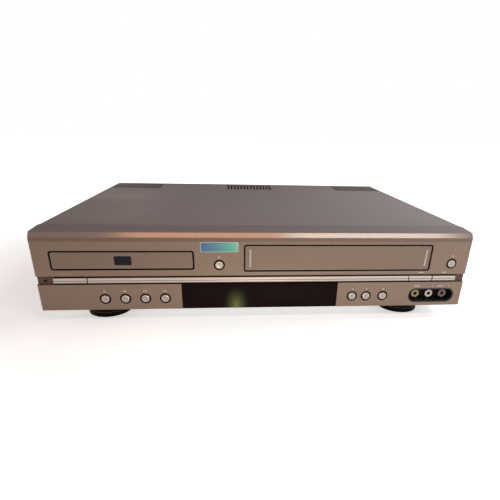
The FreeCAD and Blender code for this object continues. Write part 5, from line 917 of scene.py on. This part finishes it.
def label_finish(left, right):
    """A foil that runs from blue to green along its length, with fine diagonal lines."""
    material, tree, shader = new_material("label_foil", (0.05, 0.2, 0.35), 0.25, metallic=0.6, coat=0.5)
    run = mix(tree, ramp(tree, along(tree, "X"), left, right), TONE["foil_left"], TONE["foil_right"])
    line_pitch = 2.6 * MM
    slant = vectors(tree, "DOT_PRODUCT", object_place(tree), (1, 0, 1))
    lines = maths(tree, "SINE", maths(tree, "MULTIPLY", slant, 2 * math.pi / line_pitch))
    soft = ramp(tree, lines, -1.0, 1.0, 0.0, 0.12)
    tree.links.new(mix(tree, soft, run, TONE["foil_line"]), shader.inputs["Base Color"])
    return material


def add_plates():
    """The bare label between the doors, on its pale rim, and the bare black plate on the tray's front."""
    sunk, rim_width = 0.05 * MM, 0.5 * MM
    left, right, low, high = (value * MM for value in (-59.0, -22.9, 73.9, 83.8))
    pale = plastic("label_rim", TONE["label_rim"], 0.3, depth=0.02, dust=0.0)
    plate("label_rim", (left, right, low, high), 1.0 * MM, FRONT + sunk, FRONT - 0.12 * MM, 0.05 * MM,
          pale, "case")
    plate("label_plate", (left + rim_width, right - rim_width, low + rim_width, high - rim_width),
          0.8 * MM, FRONT - 0.08 * MM, FRONT - 0.22 * MM, 0.04 * MM, label_finish(left, right), "case")
    black = plastic("badge_black", TONE["tray_plate"], 0.35, depth=0.02, dust=0.0, shine=0.12)
    tray_box = [value * MM for value in (-140.4, -124.4, 61.0, 69.9)]
    plate("tray_plate", tray_box, 1.2 * MM, FRONT + sunk, FRONT - 0.25 * MM, 0.08 * MM, black, "tray")


def add_key_hole_shades():
    """A black funnel in each round hole, from the panel's face to the key's side, put there as painted
    shade.
    """
    black = plastic("key_hole_shade_black", TONE["ring"], 0.8, depth=0.05, dust=0.0, shine=0.05)
    profile = [(radius * MM, FRONT + depth * MM) for radius, depth in
               ((5.45, -0.02), (5.28, 2.4), (4.45, 2.4), (4.45, 1.6), (5.1, -0.02))]
    for name in ROUND_KEYS:
        turned_ring(name.replace("_button", "_ring"), centre(name), profile, black, "case")


def add_vent_shade_sheets():
    """A dark sheet under each group of slots, close below the cover's sheet, put there as painted shade."""
    # painted shade: near black sheets that make the slots look dark
    vent_shade = plastic("painted_vent_shade", TONE["vent_shade"], 0.9, depth=0.1, dust=0.0, shine=0.05)
    low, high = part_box("top_cover")
    drop, thick, wide, deep, back, inset = (
        1.9 * MM, 0.5 * MM, 71.6 * MM, 47.0 * MM, 145.7 * MM, 40.5 * MM)
    corners = np.array([(-1, -1), (1, -1), (1, 0), (-1, 0)]) * (wide / 2, deep)
    for number, middle in enumerate((low.x + inset, 0.0, high.x - inset), 1):
        flat = corners + (middle, back)
        points = np.concatenate([np.insert(flat, 2, high.z - down, 1) for down in (drop + thick, drop)])
        faces = ring_faces(2, 4) + [[3, 2, 1, 0], [4, 5, 6, 7]]
        add_piece(f"vent_shade_sheet_{number}", points, faces, vent_shade, "case")


def flat_marks(name, shapes, across, up, material):
    """Thin closed plates on the panel's face, one for each outline of (across, up) points in mm."""
    back, front = FRONT + 0.05 * MM, FRONT - 0.06 * MM
    points, faces, first = [], [], 0
    for shape in shapes:
        around = len(shape)
        flat = np.array(shape) * MM + (across, up)
        points += [np.insert(flat, 1, depth, 1) for depth in (back, front)]
        closed = ring_faces(2, around) + [list(range(around))[::-1], list(range(around, 2 * around))]
        faces += [[first + corner for corner in face] for face in closed]
        first += 2 * around
    add_piece(name, np.concatenate(points), faces, material, "case")


def bar_sign(width, height, across=0.0, up=0.0):
    """One upright rectangle about a middle, as an outline."""
    return [(across - width / 2, up - height / 2), (across + width / 2, up - height / 2),
            (across + width / 2, up + height / 2), (across - width / 2, up + height / 2)]


def round_sign(size, turn=0, corners=3, across=0.0, up=0.0):
    """Corners evenly round a middle: an arrow that points along an angle in degrees, or a disc."""
    angles = [math.radians(turn + 360 * corner / corners) for corner in range(corners)]
    return [(across + size * math.cos(angle), up + size * math.sin(angle)) for angle in angles]


def word_row(width):
    """A row of evenly spaced small blocks, as outlines about a middle."""
    letter, gap, height = 0.95, 0.35, 1.15
    count = max(1, int(width / (letter + gap)))
    first = -(count - 1) / 2 * (letter + gap)
    return [bar_sign(letter, height, first + number * (letter + gap)) for number in range(count)]


def add_marks():
    """Plain transport signs over the keys, and rows of small blocks beside the keys and sockets."""
    pale = plastic("print_pale", TONE["print"], 0.5, depth=0.02, dust=0.0, shine=0.2)
    faint = plastic("print_faint", TONE["faint_print"], 0.5, depth=0.02, dust=0.0, shine=0.2)
    lift, size = 7.9 * MM, 1.1

    def arrow(turn, across=0.0, up=0.0):
        return round_sign(size, turn, 3, across, up)
    eject = [arrow(90, 0, 0.35), bar_sign(1.9, 0.45, 0, -0.75)]
    signs = {
        "stop_button": [bar_sign(1.6, 1.6)],
        "rewind_button": [arrow(180, -0.75), arrow(180, 0.9)],
        "play_button": [arrow(0, -0.9), bar_sign(0.45, 1.7, 0.75), bar_sign(0.45, 1.7, 1.6)],
        "forward_button": [arrow(0, -0.9), arrow(0, 0.75)],
        "channel_down_button": [arrow(-90)], "channel_up_button": [arrow(90)],
        "record_button": [round_sign(0.85, 0, 16)],
        "open_close_button": eject, "eject_button": eject}
    for key, shapes in signs.items():
        middle = centre(key)
        flat_marks(key.replace("_button", "_sign"), shapes, middle.x, middle.z + lift, pale)
    key_row, socket_row = 51.8, 36.6
    rows = {"standby_words": (-187.5, 52.6, 13.0, faint), "dvd_words": (165.5, key_row, 5.5, pale),
            "vcr_words": (190.5, key_row, 5.5, pale), "video_words": (164.0, socket_row, 7.0, pale),
            "left_word": (181.0, socket_row, 1.4, pale), "right_word": (198.5, socket_row, 1.4, pale),
            "audio_words": (189.7, socket_row, 7.0, pale)}
    for name, (across, up, width, tone) in rows.items():
        flat_marks(name, word_row(width), across * MM, up * MM, tone)


bpy.context.scene.view_settings.view_transform = "Standard"
add_camera()
light_the_room()
add_floor()
dress_front()
dress_case()
dress_mechanism()
add_plates()
add_key_hole_shades()
add_vent_shade_sheets()
add_marks()
